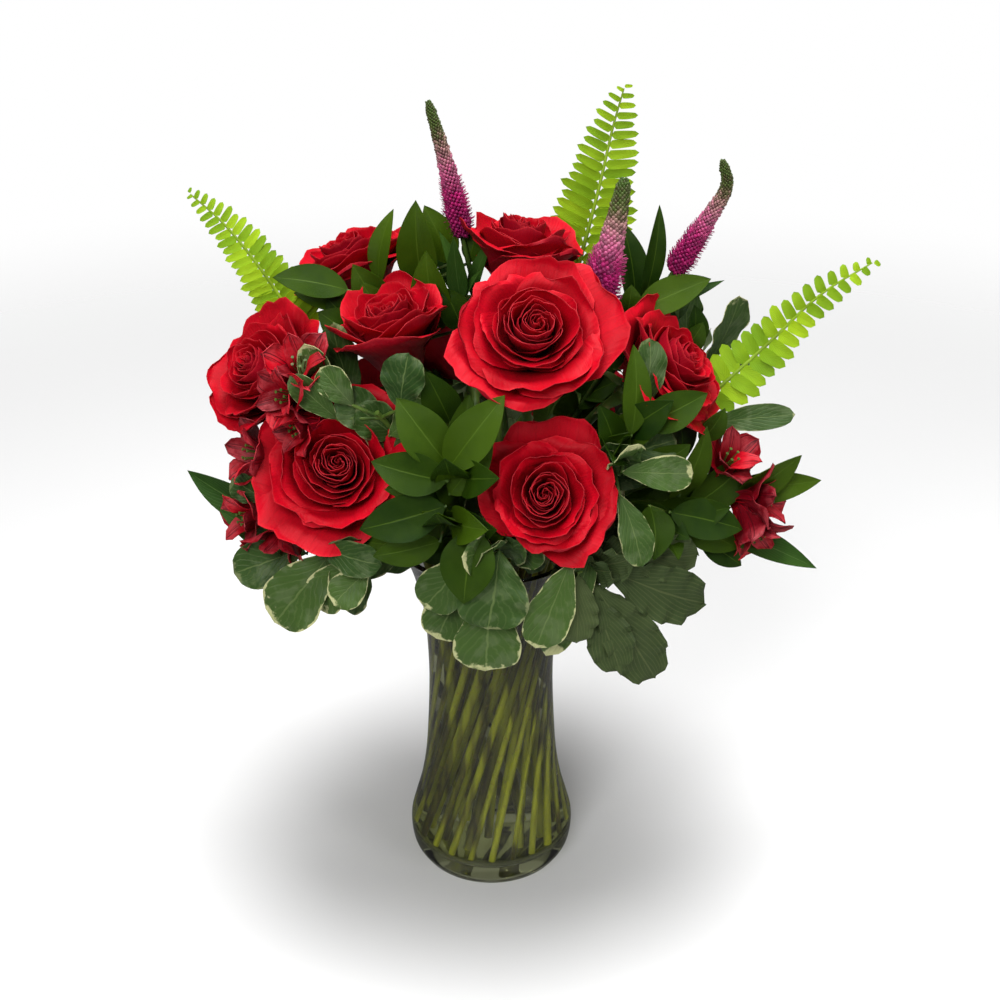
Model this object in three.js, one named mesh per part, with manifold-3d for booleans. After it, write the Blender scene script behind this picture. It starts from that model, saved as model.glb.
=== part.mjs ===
// A dozen red roses with speedwell, sword fern, Peruvian lilies, ruscus and variegated pittosporum,
// standing in a waisted glass vase of water.
// Millimetres, +Z up. The origin is on the table under the centre of the vase, and the front faces -Y.
// The cut stems lean one way round in three rings, as a florist's spiral does, so that none of them cross.
import * as THREE from 'three';
import { mergeVertices } from 'three/addons/utils/BufferGeometryUtils.js';
import Module from 'manifold-3d';

const wasm = await Module();
wasm.setup();

// ---- driving dimensions --------------------------------------------------------------------------

const GAP = 0.4; // clearance kept between pieces that touch

const VASE = {
  height: 222,
  mouthRadius: 55,
  waistRadius: 37.7,
  waistHeight: 121,
  footRadius: 51, // the widest ring of the foot
  footHeight: 21,
  baseRadius: 45.5, // where the foot meets the table
  wall: 3.5,
  floor: 13,
};
const WATER_LEVEL = 192;

const STEM_RADIUS = { rose: 2.8, speedwell: 2.1, fern: 1.5, lily: 2, ruscus: 1.8, pittosporum: 2.2 };
const STEM_BENDS = 6; // straight pieces that a stem's curve above the vase is made of
const LEAF_THICKNESS = 1.5;
const MOST_LOST = 0.1; // share of a leaf that may be cut away before it is left out
const HIP = { radius: 5.6, length: 9 }; // the green swelling under a rose

// The three rings of stems: how many places, how far out at the waist, and how far sideways a stem has moved
// when it leaves the vase, which the mouth must have room for.
const STEM_PITCH = 11.7;
const RINGS = {
  outer: { places: 21, radius: VASE.waistRadius - VASE.wall - STEM_RADIUS.rose - 2.2, slide: VASE.mouthRadius - 29.62 },
  inner: { places: 13, radius: VASE.waistRadius - VASE.wall - STEM_RADIUS.rose - 2.2 - STEM_PITCH, slide: VASE.mouthRadius - 32.44 },
  core: { places: 3, radius: 6, slide: VASE.mouthRadius - 43.72 },
};
const STEM_FOOT = VASE.floor + 3; // height of the cut ends
const GATHER = VASE.height - 7; // height where the stems leave the vase and turn to their flowers

// ---- placings: each flower and sprig, by its ring and place, and where it ends ------------------------

// rim is the middle of the open face, faces is the way it looks, cup is 0 for open and 1 for a tall cup.
const ROSES = [
  { name: 'front_top', ring: 'inner', place: 1, rim: [21, -70, 382], faces: [0.02, -0.72, 0.69], across: 84, deep: 50, cup: 0 },
  { name: 'front_low', ring: 'outer', place: 1, rim: [31, -98, 301], faces: [0.05, -0.82, 0.57], across: 73, deep: 48, cup: 0 },
  { name: 'front_left', ring: 'outer', place: 17, rim: [-81, -75, 304], faces: [-0.05, -0.84, 0.54], across: 91, deep: 48, cup: 0 },
  { name: 'top_left', ring: 'inner', place: 10, rim: [-54, -20, 372], faces: [-0.2, -0.12, 0.97], across: 74, deep: 56, cup: 1 },
  { name: 'side_left', ring: 'outer', place: 16, rim: [-132, -22, 340], faces: [-0.6, -0.45, 0.66], across: 78, deep: 48, cup: 0.2 },
  { name: 'top_back_left', ring: 'inner', place: 9, rim: [-84, 48, 386], faces: [-0.35, 0.05, 0.93], across: 84, deep: 45, cup: 0.3 },
  { name: 'top_back', ring: 'core', place: 0, rim: [20, 16, 406], faces: [0.15, 0.12, 0.98], across: 72, deep: 50, cup: 0.5 },
  { name: 'side_right', ring: 'inner', place: 3, rim: [108, -30, 350], faces: [0.7, -0.3, 0.64], across: 80, deep: 48, cup: 0 },
  { name: 'back_right', ring: 'inner', place: 6, rim: [62, 62, 332], faces: [0.4, 0.6, 0.7], across: 70, deep: 48, cup: 0.2 },
  { name: 'back', ring: 'outer', place: 11, rim: [-12, 98, 318], faces: [-0.05, 0.85, 0.52], across: 74, deep: 48, cup: 0 },
  { name: 'back_low_left', ring: 'outer', place: 13, rim: [-76, 88, 287], faces: [-0.5, 0.75, 0.42], across: 70, deep: 45, cup: 0.2 },
  { name: 'back_low_right', ring: 'outer', place: 8, rim: [84, 90, 276], faces: [0.55, 0.72, 0.42], across: 68, deep: 45, cup: 0.1 },
];

// spike is the run of the flower spike from its foot to its tip.
const SPEEDWELLS = [
  { name: 'left', ring: 'core', place: 1, spike: [[-15, 20, 396], [-23, 22, 434], [-32, 26, 466]], foot: 9, leaves: [
    [[-14, 16, 362], [-27, 8, 402], 9], [[-10, 18, 362], [2, 10, 398], 9], [[-13, 18, 352], [-4, -2, 384], 8],
    [[-14, 22, 356], [-34, 30, 392], 9], [[-16, 8, 364], [-19, -2, 402], 11]] },
  { name: 'centre', ring: 'core', place: 2, spike: [[56, -10, 366], [64, -6, 401], [70, 0, 432]], foot: 13, leaves: [
    [[54, -10, 340], [70, -22, 358], 8], [[52, -8, 336], [62, 14, 362], 9]] },
  { name: 'right', ring: 'inner', place: 4, spike: [[100, 14, 378], [116, 14, 406], [125, 14, 424], [122, 14, 438]], foot: 9, leaves: [
    [[98, 14, 364], [106, 20, 396], 8], [[96, 14, 358], [128, 18, 371], 7], [[92, 12, 344], [86, 32, 374], 9]] },
];

// frond is the run of the fronded part from its foot to its tip, upper is the way its upper side faces.
const FERNS = [
  { name: 'left', ring: 'outer', place: 15, frond: [[-104, 22, 338], [-124, 25, 372], [-144, 30, 398], [-162, 32, 415]], upper: [0.3, -0.9, 0.35], width: 34 },
  { name: 'top', ring: 'inner', place: 7, frond: [[50, 62, 362], [61, 66, 408], [68, 72, 440], [74, 76, 462]], upper: [0.1, -0.9, 0.3], width: 54 },
  { name: 'right', ring: 'outer', place: 6, frond: [[122, 4, 308], [152, 8, 337], [178, 5, 367], [203, 0, 387]], upper: [-0.3, -0.85, 0.45], width: 34 },
];
const PINNA_PITCH = 9.5;

// umbel is where the flower stalks part. Each floret is [middle of its mouth, the way it faces, how wide it opens].
const LILIES = [
  { name: 'left_top', ring: 'inner', place: 11, umbel: [-90, -38, 316], florets: [
    [[-98, -52, 355], [0, -0.6, 0.8], 30], [[-110, -62, 337], [-0.6, -0.7, 0.3], 28], [[-104, -66, 318], [-0.7, -0.7, 0], 24]], leaves: [] },
  { name: 'left_low', ring: 'outer', place: 18, umbel: [-108, -48, 270], florets: [
    [[-134, -50, 300], [-0.85, -0.4, 0.3], 32], [[-138, -56, 262], [-0.75, -0.6, 0.1], 28], [[-117, -66, 243], [-0.3, -0.7, -0.6], 30]],
    leaves: [[[-118, -42, 256], [-166, -26, 277], 20], [[-100, -50, 238], [-148, -42, 262], 18]] },
  { name: 'right', ring: 'outer', place: 5, umbel: [124, -36, 264], florets: [
    [[132, -42, 297], [0.3, -0.5, 0.8], 30], [[158, -42, 268], [0.85, -0.4, 0.15], 32], [[149, -50, 242], [0.4, -0.6, -0.6], 30]],
    leaves: [[[128, -32, 246], [182, -40, 223], 16]] },
  { name: 'back', ring: 'outer', place: 9, umbel: [42, 96, 268], florets: [
    [[40, 124, 262], [0, 0.8, -0.3], 28], [[58, 122, 246], [0.4, 0.8, -0.4], 28], [[30, 122, 244], [-0.3, 0.8, -0.5], 26]],
    leaves: [[[36, 84, 250], [22, 112, 214], 12]] },
];

// Each leaf is [foot, tip, width]. end is the end of the sprig's stem.
const RUSCUSES = [
  { name: 'front_centre', ring: 'inner', place: 0, end: [-20, -84, 306], leaves: [
    [[-21, -91, 303], [-59, -89, 313], 22], [[-21, -89, 308], [8, -84, 347], 23], [[-21, -86, 310], [-46, -78, 343], 24],
    [[-20, -88, 294], [2, -82, 318], 18], [[-14, -70, 300], [-10, -66, 340], 18], [[-20, -62, 322], [-32, -68, 353], 20]] },
  { name: 'front_left', ring: 'outer', place: 20, end: [-24, -88, 282], leaves: [
    [[-22, -93, 290], [-66, -94, 277], 24], [[-8, -96, 279], [-13, -109, 242], 28], [[-25, -92, 269], [-60, -93, 261], 17],
    [[-34, -84, 262], [-72, -70, 258], 18]] },
  { name: 'top_right', ring: 'inner', place: 2, end: [74, -58, 320], leaves: [
    [[73, -64, 316], [73, -54, 362], 16], [[78, -60, 319], [112, -56, 336], 20], [[66, -56, 300], [56, -62, 332], 18], [[80, -50, 289], [105, -56, 307], 18]] },
  { name: 'top_back', ring: 'inner', place: 5, end: [80, 26, 346], leaves: [
    [[80, 6, 358], [119, 6, 376], 20], [[84, 16, 360], [91, 22, 412], 12], [[80, 20, 352], [72, 38, 398], 20],
    [[88, 18, 346], [112, 34, 362], 18]] },
  { name: 'right', ring: 'outer', place: 4, end: [100, -48, 262], leaves: [
    [[106, -44, 262], [143, -26, 286], 24], [[96, -58, 268], [136, -55, 256], 22], [[134, -30, 261], [168, -36, 291], 20], [[132, -22, 262], [182, -28, 272], 18], [[97, -42, 264], [114, -48, 314], 19], [[104, -30, 284], [96, -34, 326], 20],
    [[84, -66, 276], [86, -82, 252], 22]] },
  { name: 'top_left', ring: 'inner', place: 8, end: [-60, 10, 366], leaves: [
    [[-76, 4, 370], [-116, 2, 378], 20], [[-74, 6, 360], [-106, 6, 368], 15], [[-60, 12, 371], [-51, 14, 412], 14],
    [[-36, 16, 364], [-39, 10, 418], 23], [[-28, 12, 344], [-34, 6, 392], 22]] },
  { name: 'back_left', ring: 'outer', place: 12, end: [-38, 96, 300], leaves: [
    [[-38, 94, 300], [-44, 92, 344], 22], [[-34, 92, 290], [-72, 104, 326], 22], [[-38, 98, 284], [-50, 128, 268], 22],
    [[-34, 94, 274], [-14, 126, 262], 20]] },
];
const PITTOSPORUMS = [
  { name: 'front_low', ring: 'outer', place: 0, end: [2, -90, 264], leaves: [
    [[5, -97, 266], [-1, -108, 226], 37], [[0, -96, 240], [-2, -101, 196], 36], [[-10, -88, 258], [-34, -96, 232], 26], [[-14, -84, 246], [-28, -92, 210], 26]] },
  { name: 'front_right', ring: 'outer', place: 2, end: [70, -64, 308], leaves: [
    [[68, -74, 300], [106, -64, 294], 19], [[67, -76, 288], [79, -90, 253], 19], [[80, -54, 326], [82, -46, 362], 18],
    [[56, -74, 262], [30, -96, 202], 20], [[42, -92, 258], [24, -104, 212], 26]] },
  { name: 'right_low', ring: 'outer', place: 3, end: [54, -78, 246], leaves: [
    [[54, -84, 240], [91, -76, 174], 32], [[52, -84, 234], [70, -90, 188], 26], [[60, -82, 248], [117, -62, 214], 32],
    [[64, -78, 256], [112, -58, 242], 26], [[46, -88, 248], [46, -96, 210], 22]] },
  { name: 'right_back', ring: 'outer', place: 7, end: [106, 36, 304], leaves: [
    [[120, 0, 293], [167, -14, 305], 15], [[122, 32, 314], [138, 24, 360], 26], [[108, 30, 326], [106, 28, 364], 26],
    [[120, 26, 306], [152, 48, 306], 26], [[108, 34, 300], [128, 70, 322], 26]] },
  { name: 'back', ring: 'outer', place: 10, end: [0, 96, 262], leaves: [
    [[0, 100, 258], [4, 124, 222], 34], [[-8, 98, 256], [-34, 122, 232], 30], [[6, 94, 250], [36, 108, 216], 30]] },
  { name: 'back_left', ring: 'outer', place: 14, end: [-104, 50, 284], leaves: [
    [[-104, 52, 280], [-142, 50, 296], 28], [[-100, 50, 276], [-134, 74, 266], 26], [[-100, 44, 268], [-140, 40, 252], 26],
    [[-98, 56, 288], [-112, 84, 318], 24]] },
  { name: 'left_low', ring: 'outer', place: 19, end: [-72, -62, 252], leaves: [
    [[-84, -70, 250], [-116, -76, 210], 34], [[-100, -58, 246], [-138, -64, 234], 26], [[-64, -78, 244], [-82, -90, 230], 20],
    [[-90, -76, 259], [-56, -86, 252], 20],
    [[-64, -60, 240], [-84, -52, 206], 26]] },
  { name: 'centre_left', ring: 'inner', place: 12, end: [-58, -58, 326], leaves: [
    [[-45, -68, 332], [-40, -67, 362], 24], [[-70, -58, 330], [-86, -56, 350], 17], [[-78, -58, 322], [-101, -60, 347], 15],
    [[-52, -56, 312], [-30, -60, 330], 20], [[-76, -40, 312], [-95, -42, 358], 19], [[-70, -24, 318], [-82, -24, 362], 22]] },
];

// The placings are for a mouth at this height. A taller or shorter vase moves them all with its mouth.
const PLACED_FOR = 222;
const lifted = ([x, y, z]) => [x, y, z + (VASE.height - PLACED_FOR)];
const liftedLeaf = ([foot, tip, width]) => [lifted(foot), lifted(tip), width];
for (const item of ROSES) item.rim = lifted(item.rim);
for (const item of SPEEDWELLS) item.spike = item.spike.map(lifted);
for (const item of FERNS) item.frond = item.frond.map(lifted);
for (const item of LILIES) {
  item.umbel = lifted(item.umbel);
  item.florets = item.florets.map(([mouth, ...rest]) => [lifted(mouth), ...rest]);
}
for (const item of [...RUSCUSES, ...PITTOSPORUMS]) item.end = lifted(item.end);
for (const item of [...SPEEDWELLS, ...LILIES, ...RUSCUSES, ...PITTOSPORUMS]) item.leaves = item.leaves.map(liftedLeaf);

const COLOURS = {
  glass: 0xdfe8e6,
  water: 0xcdd8cc,
  rosePetal: 0xb5041b,
  roseStem: 0x3f6420,
  speedwellFlower: 0xa32a6e,
  fern: 0x8fbf22,
  lilyPetal: 0x8f0f22,
  leafGreen: 0x2f5a1c,
  variegatedLeaf: 0x4a6a3a,
};

// ---- solids -------------------------------------------------------------------------------------------

const vec = (p) => new THREE.Vector3(...p);

// A closed geometry as a manifold-3d solid, turned the right way out.
function solidOf(geometry) {
  const bare = geometry.clone();
  bare.deleteAttribute('normal');
  bare.deleteAttribute('uv');
  const merged = mergeVertices(bare, 1e-4);
  const triVerts = new Uint32Array(merged.index.array);
  const vertProperties = merged.attributes.position.array;
  const made = new wasm.Manifold(new wasm.Mesh({ numProp: 3, vertProperties, triVerts }));
  if (made.volume() > 0) return made;
  for (let i = 0; i < triVerts.length; i += 3) triVerts.subarray(i, i + 3).reverse();
  return new wasm.Manifold(new wasm.Mesh({ numProp: 3, vertProperties, triVerts }));
}

function geometryOf(solid) {
  const mesh = solid.getMesh();
  const geometry = new THREE.BufferGeometry();
  geometry.setAttribute('position', new THREE.BufferAttribute(new Float32Array(mesh.vertProperties), 3));
  geometry.setIndex(new THREE.BufferAttribute(new Uint32Array(mesh.triVerts), 1));
  geometry.computeVertexNormals();
  return geometry;
}

// A closed skin over rings of points. A ring of one point is a pointed end.
function loft(rings) {
  const points = rings.flat();
  const starts = [];
  rings.reduce((sum, ring) => (starts.push(sum), sum + ring.length), 0);
  const faces = [];
  for (let k = 0; k + 1 < rings.length; k++) {
    const [a, b] = [rings[k].length, rings[k + 1].length];
    const sides = Math.max(a, b);
    for (let i = 0; i < sides; i++) {
      const j = (i + 1) % sides;
      const lower = [starts[k] + (i % a), starts[k] + (j % a)];
      const upper = [starts[k + 1] + (i % b), starts[k + 1] + (j % b)];
      if (a > 1) faces.push(lower[0], lower[1], upper[1]);
      if (b > 1) faces.push(lower[0], upper[1], upper[0]);
    }
  }
  const cap = (start, count, flip) => {
    for (let i = 1; i + 1 < count; i++)
      faces.push(start, start + (flip ? i + 1 : i), start + (flip ? i : i + 1));
  };
  cap(starts[0], rings[0].length, true);
  cap(starts.at(-1), rings.at(-1).length, false);
  const geometry = new THREE.BufferGeometry();
  geometry.setAttribute('position', new THREE.Float32BufferAttribute(points.flatMap((p) => p.toArray()), 3));
  geometry.setIndex(faces);
  return solidOf(geometry);
}

// A round bar of one radius along a path.
function bar(path, radius, sides, steps) {
  const corners = Array.from({ length: sides }, (_, i) => {
    const turn = (2 * Math.PI * i) / sides;
    return new THREE.Vector2(radius * Math.cos(turn), radius * Math.sin(turn));
  });
  return solidOf(new THREE.ExtrudeGeometry(new THREE.Shape(corners), { steps, extrudePath: path, bevelEnabled: false }));
}

// A tapering round body along a path: sizes is its radius at even steps.
function taperedBody(path, sizes, sides) {
  const steps = sizes.length - 1;
  const frames = path.computeFrenetFrames(steps, false);
  return loft(sizes.map((radius, k) => {
    const middle = path.getPointAt(k / steps);
    if (radius === 0) return [middle];
    return Array.from({ length: sides }, (_, i) => {
      const turn = (2 * Math.PI * i) / sides;
      return middle.clone()
        .addScaledVector(frames.normals[k], radius * Math.cos(turn))
        .addScaledVector(frames.binormals[k], radius * Math.sin(turn));
    });
  }));
}

// A turned body from [radius, height] points, its axis stood along a direction from a foot point.
function turned(profile, segments, foot = vec([0, 0, 0]), along = vec([0, 0, 1])) {
  const geometry = new THREE.LatheGeometry(profile.map(([r, h]) => new THREE.Vector2(r, h)), segments);
  geometry.rotateX(Math.PI / 2);
  const turn = new THREE.Quaternion().setFromUnitVectors(vec([0, 0, 1]), along.clone().normalize());
  geometry.applyQuaternion(turn);
  geometry.translate(foot.x, foot.y, foot.z);
  return solidOf(geometry);
}

const joined = (solids) => solids.reduce((sum, one) => sum.add(one));

const touches = (a, b) => {
  const [p, q] = [a.boundingBox(), b.boundingBox()];
  return [0, 1, 2].every((i) => p.min[i] <= q.max[i] && q.min[i] <= p.max[i]);
};

// A solid less every keep-out it meets.
const clearOf = (solid, keepOuts) =>
  keepOuts.filter((k) => touches(solid, k)).reduce((left, k) => left.subtract(k), solid);

// The biggest body of a solid, without the crumbs that a cut leaves.
const mainBody = (solid) => solid.decompose().reduce((best, one) => (one.volume() > best.volume() ? one : best));

// ---- the vase and its water -----------------------------------------------------------------------------

// The outside of the vase as [radius, height], from the table to the mouth.
function vaseOutline() {
  const { baseRadius, footRadius, footHeight, waistRadius, waistHeight, mouthRadius, height } = VASE;
  const shoulder = (share, z) => [waistRadius + (footRadius - waistRadius) * share, z];
  const flare = (share, z) => [waistRadius + (mouthRadius - waistRadius) * share, z];
  const below = (share) => footHeight + (waistHeight - footHeight) * share;
  const above = (share) => waistHeight + (height - waistHeight) * share;
  return [
    [baseRadius, 0], [baseRadius + (footRadius - baseRadius) * 0.8, footHeight * 0.4], [footRadius, footHeight],
    shoulder(0.8, below(0.12)), shoulder(0.45, below(0.3)), shoulder(0.18, below(0.55)), [waistRadius, waistHeight],
    flare(0.03, above(0.3)), flare(0.14, above(0.53)), flare(0.38, above(0.74)), flare(0.66, above(0.89)),
    [mouthRadius, height],
  ];
}

// The inside radius of the vase at a height, less a clearance.
function boreRadius(z, clearance = 0) {
  const outline = vaseOutline();
  const k = Math.max(1, outline.findIndex(([, h]) => h >= z));
  const [[r0, z0], [r1, z1]] = [outline[k - 1], outline[k]];
  return r0 + ((r1 - r0) * (z - z0)) / (z1 - z0) - VASE.wall - clearance;
}

const VASE_SEGMENTS = 24;

function vase() {
  const outline = vaseOutline();
  const inside = outline.slice(2).map(([r, z]) => [r - VASE.wall, z]).reverse();
  return turned([[0, 0], ...outline, ...inside, [boreRadius(VASE.floor) - 3, VASE.floor], [0, VASE.floor]], VASE_SEGMENTS);
}

function water(keepOuts) {
  const heights = vaseOutline().map(([, z]) => z).filter((z) => z > VASE.footHeight - 1 && z < WATER_LEVEL - 4);
  const side = [...heights, WATER_LEVEL].map((z) => [boreRadius(z, GAP) - GAP, z]);
  const bottom = VASE.floor + GAP;
  const profile = [[0, bottom], [boreRadius(VASE.floor, GAP) - 4, bottom], ...side, [0, WATER_LEVEL]];
  return mainBody(clearOf(turned(profile, VASE_SEGMENTS), keepOuts));
}

// ---- stems ----------------------------------------------------------------------------------------------

// One step for the straight run and STEM_BENDS steps for the curve above it.
class StemCurve extends THREE.Curve {
  constructor(straight, bend) {
    super();
    this.straight = straight;
    this.bend = bend;
  }
  getPoint(t) {
    const step = t * (1 + STEM_BENDS);
    return step < 1 ? this.straight.getPoint(step) : this.bend.getPoint(Math.min(1, (step - 1) / STEM_BENDS));
  }
  getUtoTmapping(u) {
    return u;
  }
}

// A straight run through the vase, then a curve to the end point, which it meets in the end direction.
function stemPath({ ring, place }, end, along) {
  const { places, radius } = RINGS[ring];
  const lean = RINGS[ring].slide / (GATHER - VASE.waistHeight);
  const twist = Math.atan((lean * (GATHER - VASE.waistHeight)) / radius);
  const turn = (2 * Math.PI * place) / places - Math.PI / 2 - twist;
  const at = (z) => {
    const slide = lean * (z - VASE.waistHeight);
    return new THREE.Vector3(
      radius * Math.cos(turn) - slide * Math.sin(turn), radius * Math.sin(turn) + slide * Math.cos(turn), z);
  };
  const [foot, gather] = [at(STEM_FOOT), at(GATHER)];
  const reach = gather.distanceTo(end);
  const rise = gather.clone().sub(foot).normalize();
  const bend = new THREE.CubicBezierCurve3(
    gather, gather.clone().addScaledVector(rise, reach * 0.4), end.clone().addScaledVector(along, -reach * 0.35), end);
  return new StemCurve(new THREE.LineCurve3(foot, gather), bend);
}

// The stem and the space it needs, as a pair of bars in step with each other.
function stem(path, radius) {
  const sides = radius > 2.5 ? 6 : 5;
  const room = radius + GAP / Math.cos(Math.PI / sides);
  return { body: bar(path, radius, sides, 1 + STEM_BENDS), keepOut: bar(path, room, sides, 1 + STEM_BENDS) };
}

// ---- flowers --------------------------------------------------------------------------------------------

// Half sections as shares of the radius and the depth, for an open bloom and for a tall cup.
const OPEN_BLOOM = [[0, 0], [0.3, 0.03], [0.62, 0.24], [0.86, 0.55], [1, 0.86], [0.95, 0.95], [0.76, 0.86], [0.6, 1], [0.34, 0.9], [0.2, 1], [0, 0.94]];
const CUP_BLOOM = [[0, 0], [0.34, 0.02], [0.64, 0.16], [0.7, 0.5], [0.9, 0.88], [1, 0.96], [0.84, 0.94], [0.62, 1], [0.42, 0.92], [0.24, 1], [0, 0.94]];
const BLOOM_SEGMENTS = 10;

function roseBloom({ rim, faces, across, deep, cup }) {
  const along = vec(faces).normalize();
  const foot = vec(rim).addScaledVector(along, -deep);
  const radius = across / 2;
  const profile = OPEN_BLOOM.map(([r, h], i) => [
    THREE.MathUtils.lerp(r, CUP_BLOOM[i][0], cup) * radius, THREE.MathUtils.lerp(h, CUP_BLOOM[i][1], cup) * deep]);
  const around = profile.slice(1, 6).map(([r, h]) => [r + 2 * GAP, h - GAP]);
  const lid = [[radius + 2 * GAP, deep + GAP], [0, deep + GAP]];
  return {
    foot, along,
    body: turned(profile, BLOOM_SEGMENTS, foot, along),
    keepOut: turned([[0, -GAP], ...around, ...lid], BLOOM_SEGMENTS, foot, along),
  };
}

function roseHip(foot, along, grow = 0) {
  const { radius, length } = HIP;
  const start = foot.clone().addScaledVector(along, -length - GAP - grow);
  const side = [[STEM_RADIUS.rose, 0], [radius, length * 0.6 + grow], [radius * 0.8, length + 2 * grow]];
  const profile = [[0, 0], ...side.map(([r, h]) => [r + grow, h]), [0, length + 2 * grow]];
  return turned(profile, 8, start, along);
}

function spikeBody({ spike, foot }) {
  const path = new THREE.CatmullRomCurve3(spike.map(vec));
  return taperedBody(path, [foot * 0.7, foot, foot * 0.95, foot * 0.8, foot * 0.6, foot * 0.42, 0], 8);
}

// One lily floret: a funnel from the umbel to its open mouth.
function floret(umbel, [mouth, faces, across], grow = 0) {
  const [from, to, along] = [vec(umbel), vec(mouth), vec(faces).normalize()];
  const throat = to.clone().addScaledVector(along, -across * 1.1);
  const stalk = new THREE.LineCurve3(from, throat.clone().addScaledVector(along, 3));
  const outside = [[2.4, 0], [across * 0.16, across * 0.4], [across * 0.5, across * 1.05]].map(([r, h]) => [r + grow, h]);
  const funnel = [[0, -grow], ...outside, [across * 0.4, across * 1.1 + grow], [0, across * 0.6]];
  return joined([taperedBody(stalk, [1.8 + grow, 1.3 + grow, 1.6 + grow], 5), turned(funnel, 7, throat, along)]);
}

// ---- leaves ---------------------------------------------------------------------------------------------

// A leaf turns its upper side away from the heart of the bouquet, and towards the front or the back.
const HEART = vec(lifted([0, 0, 245]));
const FRONT_REACH = 35; // leaves beyond this much to the back face the back

function upperSide(foot, tip) {
  const middle = foot.clone().lerp(tip, 0.5);
  const facing = vec([0, middle.y < FRONT_REACH ? -0.9 : 0.9, 0.3]);
  return middle.sub(HEART).normalize().add(facing);
}

// A leaf blade as flat diamond sections along a shallow arch, with a stalk back to where it is held.
// grow widens it all round, to make the space that other pieces keep clear of.
function leaf(held, [footPoint, tipPoint, width], grow = 0) {
  const [foot, tip] = [vec(footPoint), vec(tipPoint)];
  const run = tip.clone().sub(foot);
  const ahead = run.clone().normalize();
  const stalk = foot.clone().sub(held).normalize();
  const across = new THREE.Vector3().crossVectors(run, upperSide(foot, tip)).normalize();
  const above = new THREE.Vector3().crossVectors(across, run).normalize();
  const section = (middle, way, half, thick) => {
    const side = across.clone().addScaledVector(way, -across.dot(way)).normalize();
    const up = new THREE.Vector3().crossVectors(side, way).normalize();
    return [
      middle.clone().addScaledVector(side, -half - grow), middle.clone().addScaledVector(up, thick / 2 + grow),
      middle.clone().addScaledVector(side, half + grow), middle.clone().addScaledVector(up, -thick / 2 - grow)];
  };
  const arch = (share) => foot.clone().addScaledVector(run, share).addScaledVector(above, run.length() * 0.35 * share * (1 - share));
  const fall = tip.clone().sub(arch(0.66)).normalize();
  const point = grow ? section(tip.clone().addScaledVector(fall, grow), fall, 0, 0) : [tip];
  return loft([
    section(held, stalk, 1, 2), section(foot, stalk.clone().add(ahead).normalize(), 1.2, LEAF_THICKNESS),
    section(arch(0.32), ahead, width * 0.47, LEAF_THICKNESS), section(arch(0.66), ahead, width * 0.42, LEAF_THICKNESS),
    point]);
}

// The point of a path that is nearest to a leaf's foot, a little further down the stem.
function heldAt(path, footPoint) {
  const foot = vec(footPoint);
  const points = path.bend.getPoints(24).slice(8);
  const near = points.reduce((best, p, i) => (p.distanceTo(foot) < points[best].distanceTo(foot) ? i : best), 0);
  return points[Math.max(0, near - 1)];
}

// Leaves in turn to the left and the right up the curve of a sprig's stem, as [foot, tip, width].
function leavesUpStem(path, { count, length, width }) {
  return Array.from({ length: count }, (_, k) => {
    const share = 0.22 + (0.7 * (k + 0.5)) / count;
    const [root, ahead] = [path.bend.getPoint(share), path.bend.getTangent(share)];
    const out = vec([root.x, root.y, 0]).normalize();
    const side = new THREE.Vector3().crossVectors(ahead, out).normalize().multiplyScalar(k % 2 ? 1 : -1);
    const way = ahead.multiplyScalar(0.45).addScaledVector(side, 0.75).addScaledVector(out, 0.35).normalize();
    const foot = root.clone().addScaledVector(way, 6);
    return [foot.toArray(), foot.clone().addScaledVector(way, length).toArray(), width];
  });
}

const foliage = (path, leaves, grow) => leaves.map((one) => leaf(heldAt(path, one[0]), one, grow));

// Pinnae in pairs along the frond, longest a third of the way up.
function fernBlades({ frond, upper, width }) {
  const path = new THREE.CatmullRomCurve3(frond.map(vec));
  const length = path.getLength();
  const pairs = Math.floor(length / PINNA_PITCH);
  const blades = [taperedBody(path, [1.5, 1.3, 1.1, 0.9, 0.5], 5)];
  for (let k = 0; k < pairs; k++) {
    const share = (k + 0.5) / pairs;
    const reach = (width / 2) * Math.min(1, 0.78 + share) * Math.pow(1 - share, 0.6) + 2;
    const [root, ahead] = [path.getPointAt(share), path.getTangentAt(share)];
    const side = new THREE.Vector3().crossVectors(ahead, vec(upper)).normalize();
    const up = new THREE.Vector3().crossVectors(side, ahead).normalize();
    for (const hand of [-1, 1]) {
      const out = side.clone().multiplyScalar(hand).addScaledVector(ahead, 0.25).normalize();
      const section = (share2, half) => [[-half, 0], [0, 0.6], [half, 0], [0, -0.6]].map(([a, b]) =>
        root.clone().addScaledVector(out, reach * share2).addScaledVector(ahead, a).addScaledVector(up, b));
      blades.push(loft([section(0, 1.6), section(0.6, 3.2), [root.clone().addScaledVector(out, reach)]]));
    }
  }
  return joined(blades);
}

// ---- putting the arrangement together -------------------------------------------------------------------

const group = new THREE.Group();
const keepOuts = { stems: new Map(), blooms: [], leaves: [] };

function addPiece(name, solid, colour, finish = {}) {
  const material = new THREE.MeshStandardMaterial({ color: colour, roughness: 0.6, metalness: 0, ...finish });
  const mesh = new THREE.Mesh(geometryOf(solid), material);
  mesh.name = name;
  group.add(mesh);
}

const unit = (from, to) => vec(to).sub(vec(from)).normalize();
const otherStems = (name) => [...keepOuts.stems].filter(([n]) => n !== name).map(([, k]) => k);

const vaseSolid = vase();
addPiece('vase', vaseSolid, COLOURS.glass, { roughness: 0.03, transparent: true, opacity: 0.35 });

// Every stem is routed first, so that flowers and leaves can be cut clear of all of them.
const stems = new Map();
function route(name, kind, item, end, along) {
  const path = stemPath(item, end, along);
  const made = stem(path, STEM_RADIUS[kind]);
  stems.set(name, { path, body: made.body });
  keepOuts.stems.set(name, made.keepOut);
}

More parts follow.
